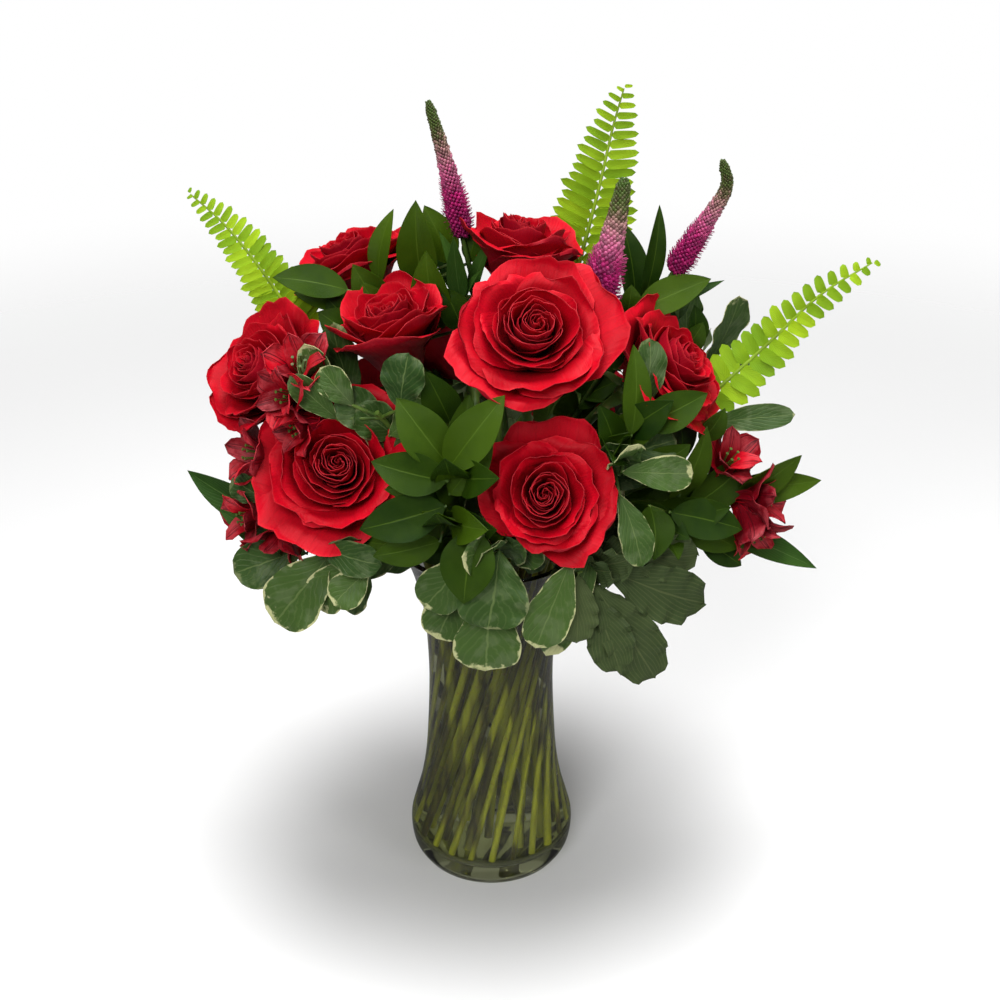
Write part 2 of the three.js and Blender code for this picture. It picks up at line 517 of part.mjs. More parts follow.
const blooms = new Map(ROSES.map((item) => [item.name, roseBloom(item)]));
for (const item of ROSES) {
  const { foot, along } = blooms.get(item.name);
  route(`rose_${item.name}`, 'rose', item, foot.clone().addScaledVector(along, -GAP - 1), along);
}
for (const item of SPEEDWELLS) {
  const along = unit(item.spike[0], item.spike[1]);
  route(`speedwell_${item.name}`, 'speedwell', item, vec(item.spike[0]).addScaledVector(along, -GAP), along);
}
for (const item of FERNS) route(`fern_${item.name}`, 'fern', item, vec(item.frond[0]), unit(item.frond[0], item.frond[1]));
for (const item of LILIES) {
  const along = unit([0, 0, VASE.height], item.umbel);
  route(`lily_${item.name}`, 'lily', item, vec(item.umbel).addScaledVector(along, -2.6), along);
}
const SPRIGS = [
  ...RUSCUSES.map((item) => ({ ...item, kind: 'ruscus', colour: COLOURS.leafGreen })),
  ...PITTOSPORUMS.map((item) => ({ ...item, kind: 'pittosporum', colour: COLOURS.variegatedLeaf })),
];
const STEM_LEAVES = {
  ruscus: { count: 8, length: 38, width: 20 },
  pittosporum: { count: 6, length: 32, width: 22 },
};
for (const item of SPRIGS) {
  const along = unit([0, 0, VASE.height], item.end);
  route(`${item.kind}_${item.name}`, item.kind, item, vec(item.end), along);
}

// A stem is notched where it would press into a stem that was routed before it.
function stemClear(name) {
  const { body } = stems.get(name);
  const before = [...stems].slice(0, [...stems.keys()].indexOf(name));
  const pressed = before.filter(([, one]) => touches(body, one.body) && body.intersect(one.body).volume() > 0);
  return pressed.length ? mainBody(clearOf(body, pressed.map(([other]) => keepOuts.stems.get(other)))) : body;
}

function addBloom(name, solid, keepOut, colour) {
  const cut = mainBody(clearOf(solid, [vaseSolid, ...keepOuts.stems.values(), ...keepOuts.blooms]));
  keepOuts.blooms.push(keepOut);
  addPiece(name, cut, colour, { roughness: 0.7 });
}

for (const item of ROSES) {
  const { body, keepOut } = blooms.get(item.name);
  addBloom(`rose_${item.name}_bloom`, body, keepOut, COLOURS.rosePetal);
}
for (const item of ROSES) {
  const { foot, along } = blooms.get(item.name);
  addPiece(`rose_${item.name}_stem`, stemClear(`rose_${item.name}`).add(roseHip(foot, along)), COLOURS.roseStem);
}
for (const item of SPEEDWELLS) {
  const keepOut = spikeBody({ ...item, foot: item.foot + 2 * GAP });
  addBloom(`speedwell_${item.name}_spike`, spikeBody(item), keepOut, COLOURS.speedwellFlower);
}
for (const item of LILIES) {
  const solid = joined(item.florets.map((one) => floret(item.umbel, one)));
  const keepOut = joined(item.florets.map((one) => floret(item.umbel, one, 2 * GAP)));
  addBloom(`lily_${item.name}_florets`, solid, keepOut, COLOURS.lilyPetal);
}

// A sprig is notched where it would press into the hip of a rose.
function clearOfHips(solid) {
  const pressed = [...blooms.values()].filter(({ foot, along }) => {
    const hip = roseHip(foot, along);
    return touches(solid, hip) && solid.intersect(hip).volume() > 0;
  });
  return clearOf(solid, pressed.map(({ foot, along }) => roseHip(foot, along, GAP)));
}

// A leaf up a stem grows only where there is room for it.
function hasRoom(name, path, one) {
  const blade = leaf(heldAt(path, one[0]), one, GAP);
  const around = [vaseSolid, ...otherStems(name), ...keepOuts.blooms, ...keepOuts.leaves];
  const lost = around.filter((k) => touches(blade, k)).reduce((sum, k) => sum + blade.intersect(k).volume(), 0);
  return lost < MOST_LOST * blade.volume();
}

// A stem with its leaves, cut clear of all that is already in place.
function addLeafy(name, leaves, colour, extra = []) {
  const { path } = stems.get(name);
  const body = stemClear(name);
  const blades = [...extra, ...foliage(path, leaves, 0)];
  if (!blades.length) return addPiece(name + '_stem', body, colour);
  const cut = clearOf(joined(blades), [vaseSolid, ...otherStems(name), ...keepOuts.blooms, ...keepOuts.leaves]);
  keepOuts.leaves.push(...foliage(path, leaves, GAP));
  return addPiece(name.startsWith('speedwell') || name.startsWith('lily') ? `${name}_stem` : name, mainBody(clearOfHips(body.add(cut))), colour);
}

for (const item of SPEEDWELLS) addLeafy(`speedwell_${item.name}`, item.leaves, COLOURS.leafGreen);
for (const item of LILIES) addLeafy(`lily_${item.name}`, item.leaves, COLOURS.leafGreen);
for (const item of FERNS) addLeafy(`fern_${item.name}`, [], COLOURS.fern, [fernBlades(item)]);
for (const item of SPRIGS) {
  const name = `${item.kind}_${item.name}`;
  const { path } = stems.get(name);
  const lower = leavesUpStem(path, STEM_LEAVES[item.kind]).filter((one) => hasRoom(name, path, one));
  addLeafy(name, [...item.leaves, ...lower], item.colour);
}

addPiece('water', water([...keepOuts.stems.values()]), COLOURS.water, { roughness: 0.02, transparent: true, opacity: 0.3 });

export default group;
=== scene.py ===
# A dozen red roses with speedwell, sword fern, Peruvian lilies, ruscus and variegated pittosporum,
# in a waisted glass vase of water. Metres, +Z up, origin on the table under the vase, front towards -Y.
from math import atan, cos, pi, radians, sin

import bpy
from mathutils import Matrix, Vector


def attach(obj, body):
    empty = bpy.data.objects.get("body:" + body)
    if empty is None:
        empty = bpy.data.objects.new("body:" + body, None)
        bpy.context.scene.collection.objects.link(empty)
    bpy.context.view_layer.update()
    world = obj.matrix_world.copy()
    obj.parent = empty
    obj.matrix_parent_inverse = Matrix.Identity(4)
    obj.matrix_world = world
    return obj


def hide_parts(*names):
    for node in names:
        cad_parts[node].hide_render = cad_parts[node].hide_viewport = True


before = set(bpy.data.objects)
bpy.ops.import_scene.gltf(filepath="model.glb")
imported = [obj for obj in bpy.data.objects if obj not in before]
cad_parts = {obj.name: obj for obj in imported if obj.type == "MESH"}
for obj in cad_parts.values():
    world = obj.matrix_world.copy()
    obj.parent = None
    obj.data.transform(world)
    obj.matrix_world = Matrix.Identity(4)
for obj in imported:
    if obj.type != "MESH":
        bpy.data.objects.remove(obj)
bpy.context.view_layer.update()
MM = 0.001

# ---- camera and light ----------------------------------------------------------------------------

CAMERA_PLACE = (0.0055, -0.7645, 0.6415)
CAMERA_LOOKS_DOWN = 27.4  # degrees
CAMERA_LENS, CAMERA_SENSOR = 54, 36
# The camera sees a white backdrop, and the bouquet is lit by a dim one and three soft lights.
BACKDROP, AMBIENT = 1.0, 0.16


def set_camera():
    camera = bpy.data.cameras.new("camera")
    camera.lens = CAMERA_LENS
    camera.sensor_width = CAMERA_SENSOR
    camera.clip_end = 50
    holder = bpy.data.objects.new("camera", camera)
    holder.location = CAMERA_PLACE
    holder.rotation_euler = (radians(90 - CAMERA_LOOKS_DOWN), 0, 0)
    bpy.context.collection.objects.link(holder)
    bpy.context.scene.camera = holder


def soft_light(name, place, aim, size, power):
    light = bpy.data.lights.new(name, "AREA")
    light.shape = "DISK"
    light.size = size
    light.energy = power
    holder = bpy.data.objects.new(name, light)
    holder.location = place
    holder.rotation_euler = (Vector(aim) - Vector(place)).to_track_quat("-Z", "Y").to_euler()
    bpy.context.collection.objects.link(holder)


def set_light():
    world = bpy.data.worlds.new("studio")
    world.use_nodes = True
    tree = Tree(world.node_tree)
    seen = tree.field("ShaderNodeLightPath", out="Is Camera Ray")
    tree.join(seen * (BACKDROP - AMBIENT) + AMBIENT, world.node_tree.nodes["Background"].inputs["Strength"])
    world.node_tree.nodes["Background"].inputs["Color"].default_value = (1, 1, 1, 1)
    bpy.context.scene.world = world
    bpy.context.scene.view_settings.view_transform = "Standard"
    soft_light("key_light", (-0.5, -1.3, 1.5), (0, 0, 0.3), 0.9, 24)
    soft_light("top_light", (0.05, 0.0, 1.7), (0, 0, 0.25), 0.9, 25)
    soft_light("fill_light", (1.3, -1.0, 0.9), (0, 0, 0.25), 0.8, 7)


# ---- node trees ----------------------------------------------------------------------------------


class Field:
    """A value in a node tree. Arithmetic on it adds Math nodes to the tree."""

    def __init__(self, tree, socket):
        self.tree = tree
        self.socket = socket

    def is_vector(self):
        return self.socket.type in {"VECTOR", "RGBA"}

    def math(self, operation, *others):
        fields = [self, *others]
        if any(isinstance(one, Field) and one.is_vector() for one in fields):
            return self.vector(operation, *others)
        node = self.tree.node("ShaderNodeMath", operation=operation)
        for slot, value in zip(node.inputs, fields):
            self.tree.join(value, slot)
        return Field(self.tree, node.outputs[0])

    def vector(self, operation, *others, out="Vector"):
        node = self.tree.node("ShaderNodeVectorMath", operation=operation)
        for slot, value in zip(node.inputs, [self, *others]):
            self.tree.join(value, slot)
        return Field(self.tree, node.outputs[out])

    def __add__(self, other):
        return self.math("ADD", other)

    __radd__ = __add__

    def __sub__(self, other):
        return self.math("SUBTRACT", other)

    def __rsub__(self, other):
        return (self * -1) + other

    def __mul__(self, other):
        if self.is_vector() and not (isinstance(other, Field) and other.is_vector()):
            node = self.tree.node("ShaderNodeVectorMath", operation="SCALE")
            self.tree.join(self, node.inputs[0])
            self.tree.join(other, node.inputs["Scale"])
            return Field(self.tree, node.outputs["Vector"])
        if isinstance(other, Field) and other.is_vector() and not self.is_vector():
            return other * self
        return self.math("MULTIPLY", other)

    __rmul__ = __mul__

    def __truediv__(self, other):
        return self.math("DIVIDE", other)

    def __pow__(self, other):
        return self.math("POWER", other)

    def sin(self):
        return self.math("SINE")

    def cos(self):
        return self.math("COSINE")

    def abs(self):
        return self.math("ABSOLUTE")

    def unit(self):
        return self.vector("NORMALIZE")

    def cross(self, other):
        return self.vector("CROSS_PRODUCT", other)

    def length(self):
        return self.vector("LENGTH", out="Value")

    def step(self, low, high):
        """0 below low, 1 above high, and smooth between them."""
        node = self.tree.node("ShaderNodeMapRange", interpolation_type="SMOOTHSTEP")
        for key, value in {"Value": self, "From Min": low, "From Max": high}.items():
            self.tree.join(value, node.inputs[key])
        return Field(self.tree, node.outputs["Result"])


class Tree:
    """A node tree, with short ways to add and join nodes."""

    def __init__(self, nodes):
        self.nodes = nodes

    def join(self, value, slot):
        if isinstance(value, Field):
            self.nodes.links.new(value.socket, slot)
        elif isinstance(value, bpy.types.NodeSocket):
            self.nodes.links.new(value, slot)
        elif slot.type == "VECTOR" and isinstance(value, (int, float)):
            slot.default_value = (value, value, value)
        else:
            slot.default_value = value

    def node(self, kind, inputs=None, **settings):
        made = self.nodes.nodes.new(kind)
        for key, value in settings.items():
            setattr(made, key, value)
        for key, value in (inputs or {}).items():
            slot = made.inputs[key] if isinstance(key, int) else self.slot(made.inputs, key)
            self.join(value, slot)
        return made

    def slot(self, sockets, key):
        return next(one for one in sockets if one.name == key and one.enabled)

    def field(self, kind, inputs=None, out=None, **settings):
        made = self.node(kind, inputs, **settings)
        return Field(self, self.slot(made.outputs, out) if out else made.outputs[0])

    def xyz(self, x, y, z):
        return self.field("ShaderNodeCombineXYZ", {"X": x, "Y": y, "Z": z})

    def part(self, vector, axis):
        return self.field("ShaderNodeSeparateXYZ", {"Vector": vector}, out=axis)

    def attribute(self, name, kind="FLOAT"):
        return self.field("GeometryNodeInputNamedAttribute", {"Name": name}, out="Attribute", data_type=kind)

    def store(self, geometry, name, value, kind="FLOAT", domain="POINT"):
        return self.field("GeometryNodeStoreNamedAttribute",
                          {"Geometry": geometry, "Name": name, "Value": value}, data_type=kind, domain=domain)

    def joined(self, *parts):
        both = self.node("GeometryNodeJoinGeometry")
        for part in parts:
            self.join(part, both.inputs[0])
        return Field(self, both.outputs[0])

    def random(self, low, high, seed, which):
        return self.field("FunctionNodeRandomValue", {"Min": low, "Max": high, "Seed": seed, "ID": which},
                          out="Value", data_type="FLOAT")

    def noise(self, vector, scale, detail=2.0):
        return self.field("ShaderNodeTexNoise", {"Vector": vector, "Scale": scale, "Detail": detail})

    def place(self):
        """Where on the object a material is, in metres."""
        return self.field("ShaderNodeTexCoord", out="Object")

    def uv(self):
        """Across a petal or leaf in X, and from its foot to its tip in Y."""
        return self.field("ShaderNodeTexCoord", out="UV")

    def stored(self, name):
        """A number that the geometry carries under a name, as a material reads it."""
        return self.field("ShaderNodeAttribute", out="Fac", attribute_name=name)

    def mask(self, group, inputs):
        return Field(self, put_group(self, group, inputs).outputs["Mask"])


SOCKETS = {"geometry": "NodeSocketGeometry", "float": "NodeSocketFloat", "int": "NodeSocketInt",
           "material": "NodeSocketMaterial", "vector": "NodeSocketVector"}


def new_group(name, kind, inputs, outputs):
    """A node group with named sockets: (its Tree, its inputs as Fields, its output node)."""
    group = bpy.data.node_groups.new(name, kind)
    for key, (form, value) in inputs.items():
        slot = group.interface.new_socket(name=key, in_out="INPUT", socket_type=SOCKETS[form])
        if value is not None:
            slot.default_value = value
    for key, form in outputs.items():
        group.interface.new_socket(name=key, in_out="OUTPUT", socket_type=SOCKETS[form])
    tree = Tree(group)
    given = tree.node("NodeGroupInput")
    sent = tree.node("NodeGroupOutput")
    return tree, {key: Field(tree, given.outputs[key]) for key in inputs}, sent


def put_group(tree, group, inputs):
    kind = "GeometryNodeGroup" if tree.nodes.bl_idname == "GeometryNodeTree" else "ShaderNodeGroup"
    made = tree.node(kind, node_tree=group.nodes)
    for key, value in inputs.items():
        tree.join(value, made.inputs[key])
    return made


# ---- finished pieces -----------------------------------------------------------------------------


CREASE_ANGLE = 50  # degrees; a sharper edge on a grown piece is shaded as a crease


def new_object(name, mesh=None):
    made = bpy.data.objects.new(name, mesh or bpy.data.meshes.new(name))
    bpy.context.collection.objects.link(made)
    return made


def grow(holder, tree, inputs):
    """Runs a Geometry Nodes tree on an object and keeps the result as its plain mesh."""
    modifier = holder.modifiers.new("grown", "NODES")
    modifier.node_group = tree.nodes
    for slot in tree.nodes.interface.items_tree:
        if slot.in_out == "INPUT" and slot.name in inputs:
            modifier[slot.identifier] = inputs[slot.name]
    evaluated = holder.evaluated_get(bpy.context.evaluated_depsgraph_get())
    mesh = bpy.data.meshes.new_from_object(evaluated)
    holder.modifiers.clear()
    holder.data = mesh
    mesh.set_sharp_from_angle(angle=radians(CREASE_ANGLE))


def keep(piece, slot_name, *nodes):
    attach(piece, "root")
    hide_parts(*nodes)


# ---- materials -----------------------------------------------------------------------------------


def patches_group():
    """Soft blotches over a surface, from 0 to 1."""
    tree, given, sent = new_group(
        "patches", "ShaderNodeTree",
        {"Scale": ("float", 60.0), "Sharpness": ("float", 0.2)}, {"Mask": "float"})
    cloud = tree.noise(tree.place(), given["Scale"], 4.0)
    tree.join(cloud.step(0.5 - given["Sharpness"], given["Sharpness"] + 0.5), sent.inputs["Mask"])
    return tree


def veins_group():
    """A midrib and slanted side veins on a blade whose UV runs across and along it."""
    tree, given, sent = new_group(
        "veins", "ShaderNodeTree",
        {"Pairs": ("float", 9.0), "Slant": ("float", 0.35),
         "Rib Width": ("float", 0.05), "Waver": ("float", 0.02)},
        {"Rib": "float", "Veins": "float", "Margin": "float"})
    uv = tree.uv()
    wander = (tree.noise(uv, 9.0, 2.0) - 0.5) * given["Waver"]
    across = ((tree.part(uv, "X") - 0.5) * 2.0 + wander).abs()
    along = tree.part(uv, "Y")
    rib = 1.0 - across.step(given["Rib Width"] * 0.4, given["Rib Width"])
    phase = (along - across * given["Slant"] + wander) * given["Pairs"]
    ridge = ((phase * (2 * pi)).cos() * 0.5 + 0.5) ** 6.0
    tree.join(rib, sent.inputs["Rib"])
    tree.join(ridge * across.step(0.02, 0.15), sent.inputs["Veins"])
    tree.join(across, sent.inputs["Margin"])
    return tree


def streaks_group():
    """Fine lines that run along a petal or a stem, from 0 to 1."""
    tree, given, sent = new_group(
        "streaks", "ShaderNodeTree",
        {"Lines": ("float", 40.0), "Stretch": ("float", 2.0)}, {"Mask": "float"})
    uv = tree.uv()
    squeezed = tree.xyz(tree.part(uv, "X") * given["Lines"], tree.part(uv, "Y") * given["Stretch"], 0.0)
    tree.join(tree.noise(squeezed, 1.0, 3.0), sent.inputs["Mask"])
    return tree


PATCHES = patches_group()
VEINS = veins_group()
STREAKS = streaks_group()


def new_material(name, **settings):
    """(its Tree, its Principled BSDF), with plain numbers set on the shader's own sockets."""
    material = bpy.data.materials.new(name)
    material.use_nodes = True
    shader = material.node_tree.nodes["Principled BSDF"]
    for key, value in settings.items():
        shader.inputs[key.replace("_", " ")].default_value = value
    return Tree(material.node_tree), shader, material


MIX_SHARE, MIX_FIRST, MIX_SECOND = 0, 6, 7  # the colour sockets of a Mix node


def mix(tree, share, first, second):
    return tree.field("ShaderNodeMix", {MIX_SHARE: share, MIX_FIRST: first, MIX_SECOND: second},
                      data_type="RGBA", out="Result")


def bump(tree, shader, height, strength, distance):
    node = tree.node("ShaderNodeBump", {"Height": height})
    node.inputs["Strength"].default_value = strength
    node.inputs["Distance"].default_value = distance
    tree.join(node.outputs["Normal"], shader.inputs["Normal"])


def rose_petal_material():
    tree, shader, material = new_material(
        "rose_petal", Subsurface_Weight=0.06, Subsurface_Radius=(0.004, 0.0004, 0.0003), Subsurface_Scale=1.0,
        Sheen_Weight=0.03, Sheen_Roughness=0.5, Sheen_Tint=(1.0, 0.1, 0.15, 1.0), Specular_IOR_Level=0.12)
    along = tree.part(tree.uv(), "Y")
    lines = tree.mask(STREAKS, {"Lines": 46.0, "Stretch": 3.0})
    cloud = tree.mask(PATCHES, {"Scale": 60.0, "Sharpness": 0.25})
    tint, under = tree.stored("tint"), tree.stored("under")
    # Painted shade: this ramp darkens each petal towards its foot, deep in the bloom, and brightens it
    # towards the rim.
    ramp = tree.node("ShaderNodeValToRGB", {"Fac": along})
    stops = ramp.color_ramp.elements
    stops[0].position, stops[0].color = 0.0, (0.05, 0.0002, 0.001, 1)
    stops[1].position, stops[1].color = 1.0, (0.58, 0.0006, 0.012, 1)
    stops.new(0.45).color = (0.14, 0.0002, 0.002, 1)
    stops.new(0.75).color = (0.38, 0.0004, 0.007, 1)
    base = Field(tree, ramp.outputs["Color"])
    toned = mix(tree, tint * 0.4, base, (0.68, 0.0008, 0.016, 1))
    blotched = mix(tree, cloud * 0.45, toned, (0.27, 0.0006, 0.004, 1))
    back = mix(tree, lines * 0.5, (0.23, 0.001, 0.008, 1), (0.40, 0.002, 0.014, 1))
    # On a petal, the side behind the sheet's normals is the inner face.
    faced = mix(tree, under, back, blotched)
    # Painted highlight: a thin lighter line along the rim of each petal.
    rim_highlighted = mix(tree, along.step(0.965, 1.0) * 0.22, faced, (0.85, 0.05, 0.06, 1))
    veined = mix(tree, lines.step(0.5, 0.8) * 0.4, rim_highlighted, (0.17, 0.0006, 0.004, 1))
    tree.join(veined, shader.inputs["Base Color"])
    tree.join(lines * 0.2 + 0.44, shader.inputs["Roughness"])
    bump(tree, shader, lines + cloud * 0.6, 0.4, 0.0009)
    return material


def leaf_material(name, dark, light, rib_colour, roughness, pairs, slant, side_share=0.12):
    tree, shader, material = new_material(
        name, Subsurface_Weight=0.04, Subsurface_Radius=(0.001, 0.002, 0.0005), Specular_IOR_Level=0.10)
    veins = put_group(tree, VEINS, {"Pairs": pairs, "Slant": slant, "Rib Width": 0.05, "Waver": 0.03})
    rib, side = Field(tree, veins.outputs["Rib"]), Field(tree, veins.outputs["Veins"])
    cloud = tree.mask(PATCHES, {"Scale": 70.0, "Sharpness": 0.3})
    tint, under = tree.stored("tint"), tree.stored("under")
    base = mix(tree, tint ** 1.6 * 0.75 + cloud * 0.25, (*dark, 1), (*light, 1))
    ribbed = mix(tree, rib * 0.45 + side * side_share, base, (*rib_colour, 1))
    pale = mix(tree, under * 0.45, ribbed, (*rib_colour, 1))
    tree.join(pale, shader.inputs["Base Color"])
    tree.join(cloud * 0.12 + under * 0.2 + roughness, shader.inputs["Roughness"])
    bump(tree, shader, rib * -0.8 - side * 0.4, 0.35, 0.0006)
    return material


def variegated_material():
    tree, shader, material = new_material(
        "pittosporum_leaf", Subsurface_Weight=0.04, Subsurface_Radius=(0.001, 0.002, 0.0008),
        Specular_IOR_Level=0.16)
    veins = put_group(tree, VEINS, {"Pairs": 7.0, "Slant": 0.5, "Rib Width": 0.05, "Waver": 0.12})
    rib, side = Field(tree, veins.outputs["Rib"]), Field(tree, veins.outputs["Veins"])
    margin = Field(tree, veins.outputs["Margin"])
    along = tree.part(tree.uv(), "Y")
    place = tree.place()
    ragged = tree.noise(place, 240.0, 3.0)
    tint, under = tree.stored("tint"), tree.stored("under")
    drift = tree.noise(place, 45.0, 1.0) - 0.5
    cream = (margin * 0.96).math("MAXIMUM", along * 1.02 - 0.03)
    cream = cream + (ragged - 0.5) * 0.34 + drift * 0.30 + tint * 0.04
    edge = cream.step(0.93, 0.99)
    grey = tree.noise(place, 110.0, 3.0).step(0.50, 0.64)
    green = mix(tree, tint, (0.018, 0.048, 0.008, 1), (0.055, 0.105, 0.020, 1))
    mottled = mix(tree, grey * 0.45, green, (0.10, 0.14, 0.06, 1))
    edged = mix(tree, edge * (tint.step(0.25, 0.75) * 0.70 + 0.15), mottled, (0.52, 0.52, 0.26, 1))
    ribbed = mix(tree, rib * 0.45 + side * 0.15, edged, (0.16, 0.22, 0.07, 1))
    pale = mix(tree, under * 0.5, ribbed, (0.17, 0.22, 0.10, 1))
    tree.join(pale, shader.inputs["Base Color"])
    tree.join(ragged * 0.25 + 0.36, shader.inputs["Roughness"])
    bump(tree, shader, rib * -0.8 - side * 0.5 + ragged * 0.3, 0.4, 0.0008)
    return material


def stem_material(name, low, high, spot=0.5):
    """Fine lines along a stem, with one pair of greens in the vase and one above it."""
    tree, shader, material = new_material(name, Specular_IOR_Level=0.3)
    place = tree.place()
    stretched = place.vector("MULTIPLY", (260.0, 260.0, 18.0))
    lines = tree.noise(stretched, 1.0, 3.0)
    bend = tree.noise(place.vector("MULTIPLY", (85.0, 85.0, 9.0)), 1.0, 1.0)
    above = (tree.part(place, "Z") + (bend - 0.5) * 0.06).step(0.20, 0.26)
    greens = [mix(tree, lines.step(0.35, 0.65) * 0.25 + bend.step(0.44, 0.56) * 0.75, (*dark, 1), (*light, 1))
              for dark, light in (low, high)]
    spots = tree.noise(place, 340.0, 2.0).step(0.62, 0.7)
    speckled = mix(tree, spots * spot, mix(tree, above, *greens), (0.14, 0.085, 0.025, 1))
    tree.join(speckled, shader.inputs["Base Color"])
    tree.join(lines * 0.2 + 0.38, shader.inputs["Roughness"])
    bump(tree, shader, lines, 0.3, 0.0004)
    return material


def spike_material():
    tree, shader, material = new_material(
        "speedwell_flower", Subsurface_Weight=0.08, Subsurface_Radius=(0.001, 0.0005, 0.001),
        Specular_IOR_Level=0.3)
    run, tint = tree.stored("run"), tree.stored("tint")
    ramp = tree.node("ShaderNodeValToRGB", {"Fac": run + (tint - 0.5) * 0.14})
    stops = ramp.color_ramp.elements
    stops[0].position, stops[0].color = 0.0, (0.27, 0.004, 0.085, 1)
    stops[1].position, stops[1].color = 1.0, (0.050, 0.100, 0.014, 1)
    for place, colour in ((0.28, (0.44, 0.012, 0.15, 1)), (0.48, (0.50, 0.12, 0.24, 1)),
                          (0.62, (0.38, 0.20, 0.19, 1)), (0.76, (0.075, 0.105, 0.022, 1))):
        stops.new(place).color = colour
    dark_bead = tint.step(0.50, 0.75) * (0.85 - run * 0.65)
    shade = mix(tree, dark_bead, Field(tree, ramp.outputs["Color"]), (0.10, 0.004, 0.045, 1))
    tree.join(shade, shader.inputs["Base Color"])
    grain = tree.noise(tree.place(), 900.0, 2.0)
    tree.join(grain * 0.2 + 0.45, shader.inputs["Roughness"])
    bump(tree, shader, grain, 0.3, 0.0004)
    return material


def lily_petal_material():
    tree, shader, material = new_material(
        "lily_petal", Subsurface_Weight=0.05, Subsurface_Radius=(0.002, 0.0003, 0.0002),
        Specular_IOR_Level=0.2)
    along = tree.part(tree.uv(), "Y")
    lines = tree.mask(STREAKS, {"Lines": 20.0, "Stretch": 1.6})
    cloud = tree.mask(PATCHES, {"Scale": 170.0, "Sharpness": 0.12})
    tint, under = tree.stored("tint"), tree.stored("under")
    base = mix(tree, tint, (0.15, 0.0006, 0.005, 1), (0.52, 0.0015, 0.012, 1))
    back = mix(tree, under * 0.6, base, (0.16, 0.001, 0.008, 1))
    pale = mix(tree, along.step(0.5, 1.0) * cloud * 0.35, back, (0.66, 0.10, 0.12, 1))
    streaked = mix(tree, lines.step(0.56, 0.62) * 0.85, pale, (0.045, 0.0, 0.003, 1))
    tree.join(streaked, shader.inputs["Base Color"])
    tree.join(lines * 0.25 + 0.35, shader.inputs["Roughness"])
    bump(tree, shader, lines, 0.5, 0.0008)
    return material


LET_THROUGH = 0.80  # the share of a light's rays that pass glass or water without a shadow


def clear_material(name, colour, ior):
    """Clear glass or water, which lets most of the light through to what stands in it."""
    tree, shader, material = new_material(
        name, Roughness=0.0, IOR=ior, Transmission_Weight=1.0, Specular_IOR_Level=0.3)
    cloud = tree.noise(tree.place(), 9.0, 2.0)
    tree.join(mix(tree, cloud.step(0.3, 0.7) * 0.3, (*colour, 1), (1, 1, 1, 1)), shader.inputs["Base Color"])
    shading = tree.field("ShaderNodeLightPath", out="Is Shadow Ray")
    tree.join(1.0 - shading * LET_THROUGH, shader.inputs["Alpha"])
    return material


ROSE_PETAL = rose_petal_material()
RUSCUS_LEAF = leaf_material("ruscus_leaf", (0.007, 0.026, 0.001), (0.052, 0.100, 0.003),
                            (0.080, 0.140, 0.014), 0.40, 26.0, 4.0, side_share=0.05)
SPEEDWELL_LEAF = leaf_material("speedwell_leaf", (0.014, 0.045, 0.006), (0.050, 0.12, 0.015),
                               (0.10, 0.18, 0.04), 0.45, 9.0, 0.6)
GREY_LEAF = leaf_material("grey_leaf", (0.026, 0.046, 0.014), (0.062, 0.086, 0.030), (0.11, 0.13, 0.05),
                          0.5, 7.0, 0.9, side_share=0.3)
FERN_LEAF = leaf_material("fern_frond", (0.13, 0.26, 0.006), (0.33, 0.50, 0.012), (0.17, 0.28, 0.010),
                          0.5, 7.0, 0.5)
VARIEGATED_LEAF = variegated_material()
IN_THE_VASE = ((0.022, 0.017, 0.003), (0.24, 0.25, 0.012))
GREEN_STEM = stem_material("green_stem", IN_THE_VASE, ((0.035, 0.075, 0.010), (0.09, 0.15, 0.022)))
FERN_STEM = stem_material("fern_stem", IN_THE_VASE, ((0.16, 0.26, 0.010), (0.26, 0.42, 0.020)), spot=0.1)
SPEEDWELL_FLOWER = spike_material()
SPEEDWELL_CORE = stem_material("speedwell_core", ((0.03, 0.02, 0.015), (0.05, 0.03, 0.02)),
                               ((0.030, 0.010, 0.018), (0.05, 0.02, 0.03)), spot=0.3)
LILY_PETAL = lily_petal_material()
GLASS = clear_material("glass", (0.94, 0.96, 0.91), 1.5)
WATER = clear_material("water", (0.85, 0.88, 0.46), 1.333)

# ---- geometry trees ------------------------------------------------------------------------------

GOLDEN_TURN = 2.39996  # radians between one petal or floret and the next
PETAL_COLUMNS, PETAL_ROWS = 19, 16
SHEET_THICKNESS = 0.0003
SEAM_WELD = 0.000004  # points this close on the two sides of a sheet are one
TIP_WELD = 0.00004  # points this close at the foot or tip of a leaf are one
OPEN_SHARE = 0.42  # the share of a speedwell spike whose florets are open
SLIM_STEM_SIDES = 8


def sheet_grid(tree, points, columns, rows):
    """A grid on every point: (realized mesh, across from -1 to 1, along from 0 to 1)."""
    grid = tree.field("GeometryNodeMeshGrid", {
        "Size X": 1.0, "Size Y": 1.0, "Vertices X": columns, "Vertices Y": rows})
    marked = tree.store(grid, "sheet", tree.field("GeometryNodeInputPosition"), "FLOAT_VECTOR")
    sheet = tree.attribute("sheet", "FLOAT_VECTOR")
    uv = tree.xyz(tree.part(sheet, "X") + 0.5, tree.part(sheet, "Y") + 0.5, 0.0)
    mapped = tree.store(marked, "UVMap", uv, "FLOAT2", "CORNER")
    placed = tree.field("GeometryNodeInstanceOnPoints", {"Points": points, "Instance": mapped})
    mesh = tree.field("GeometryNodeRealizeInstances", {"Geometry": placed})
    return mesh, tree.part(sheet, "X") * 2.0, tree.part(sheet, "Y") + 0.5


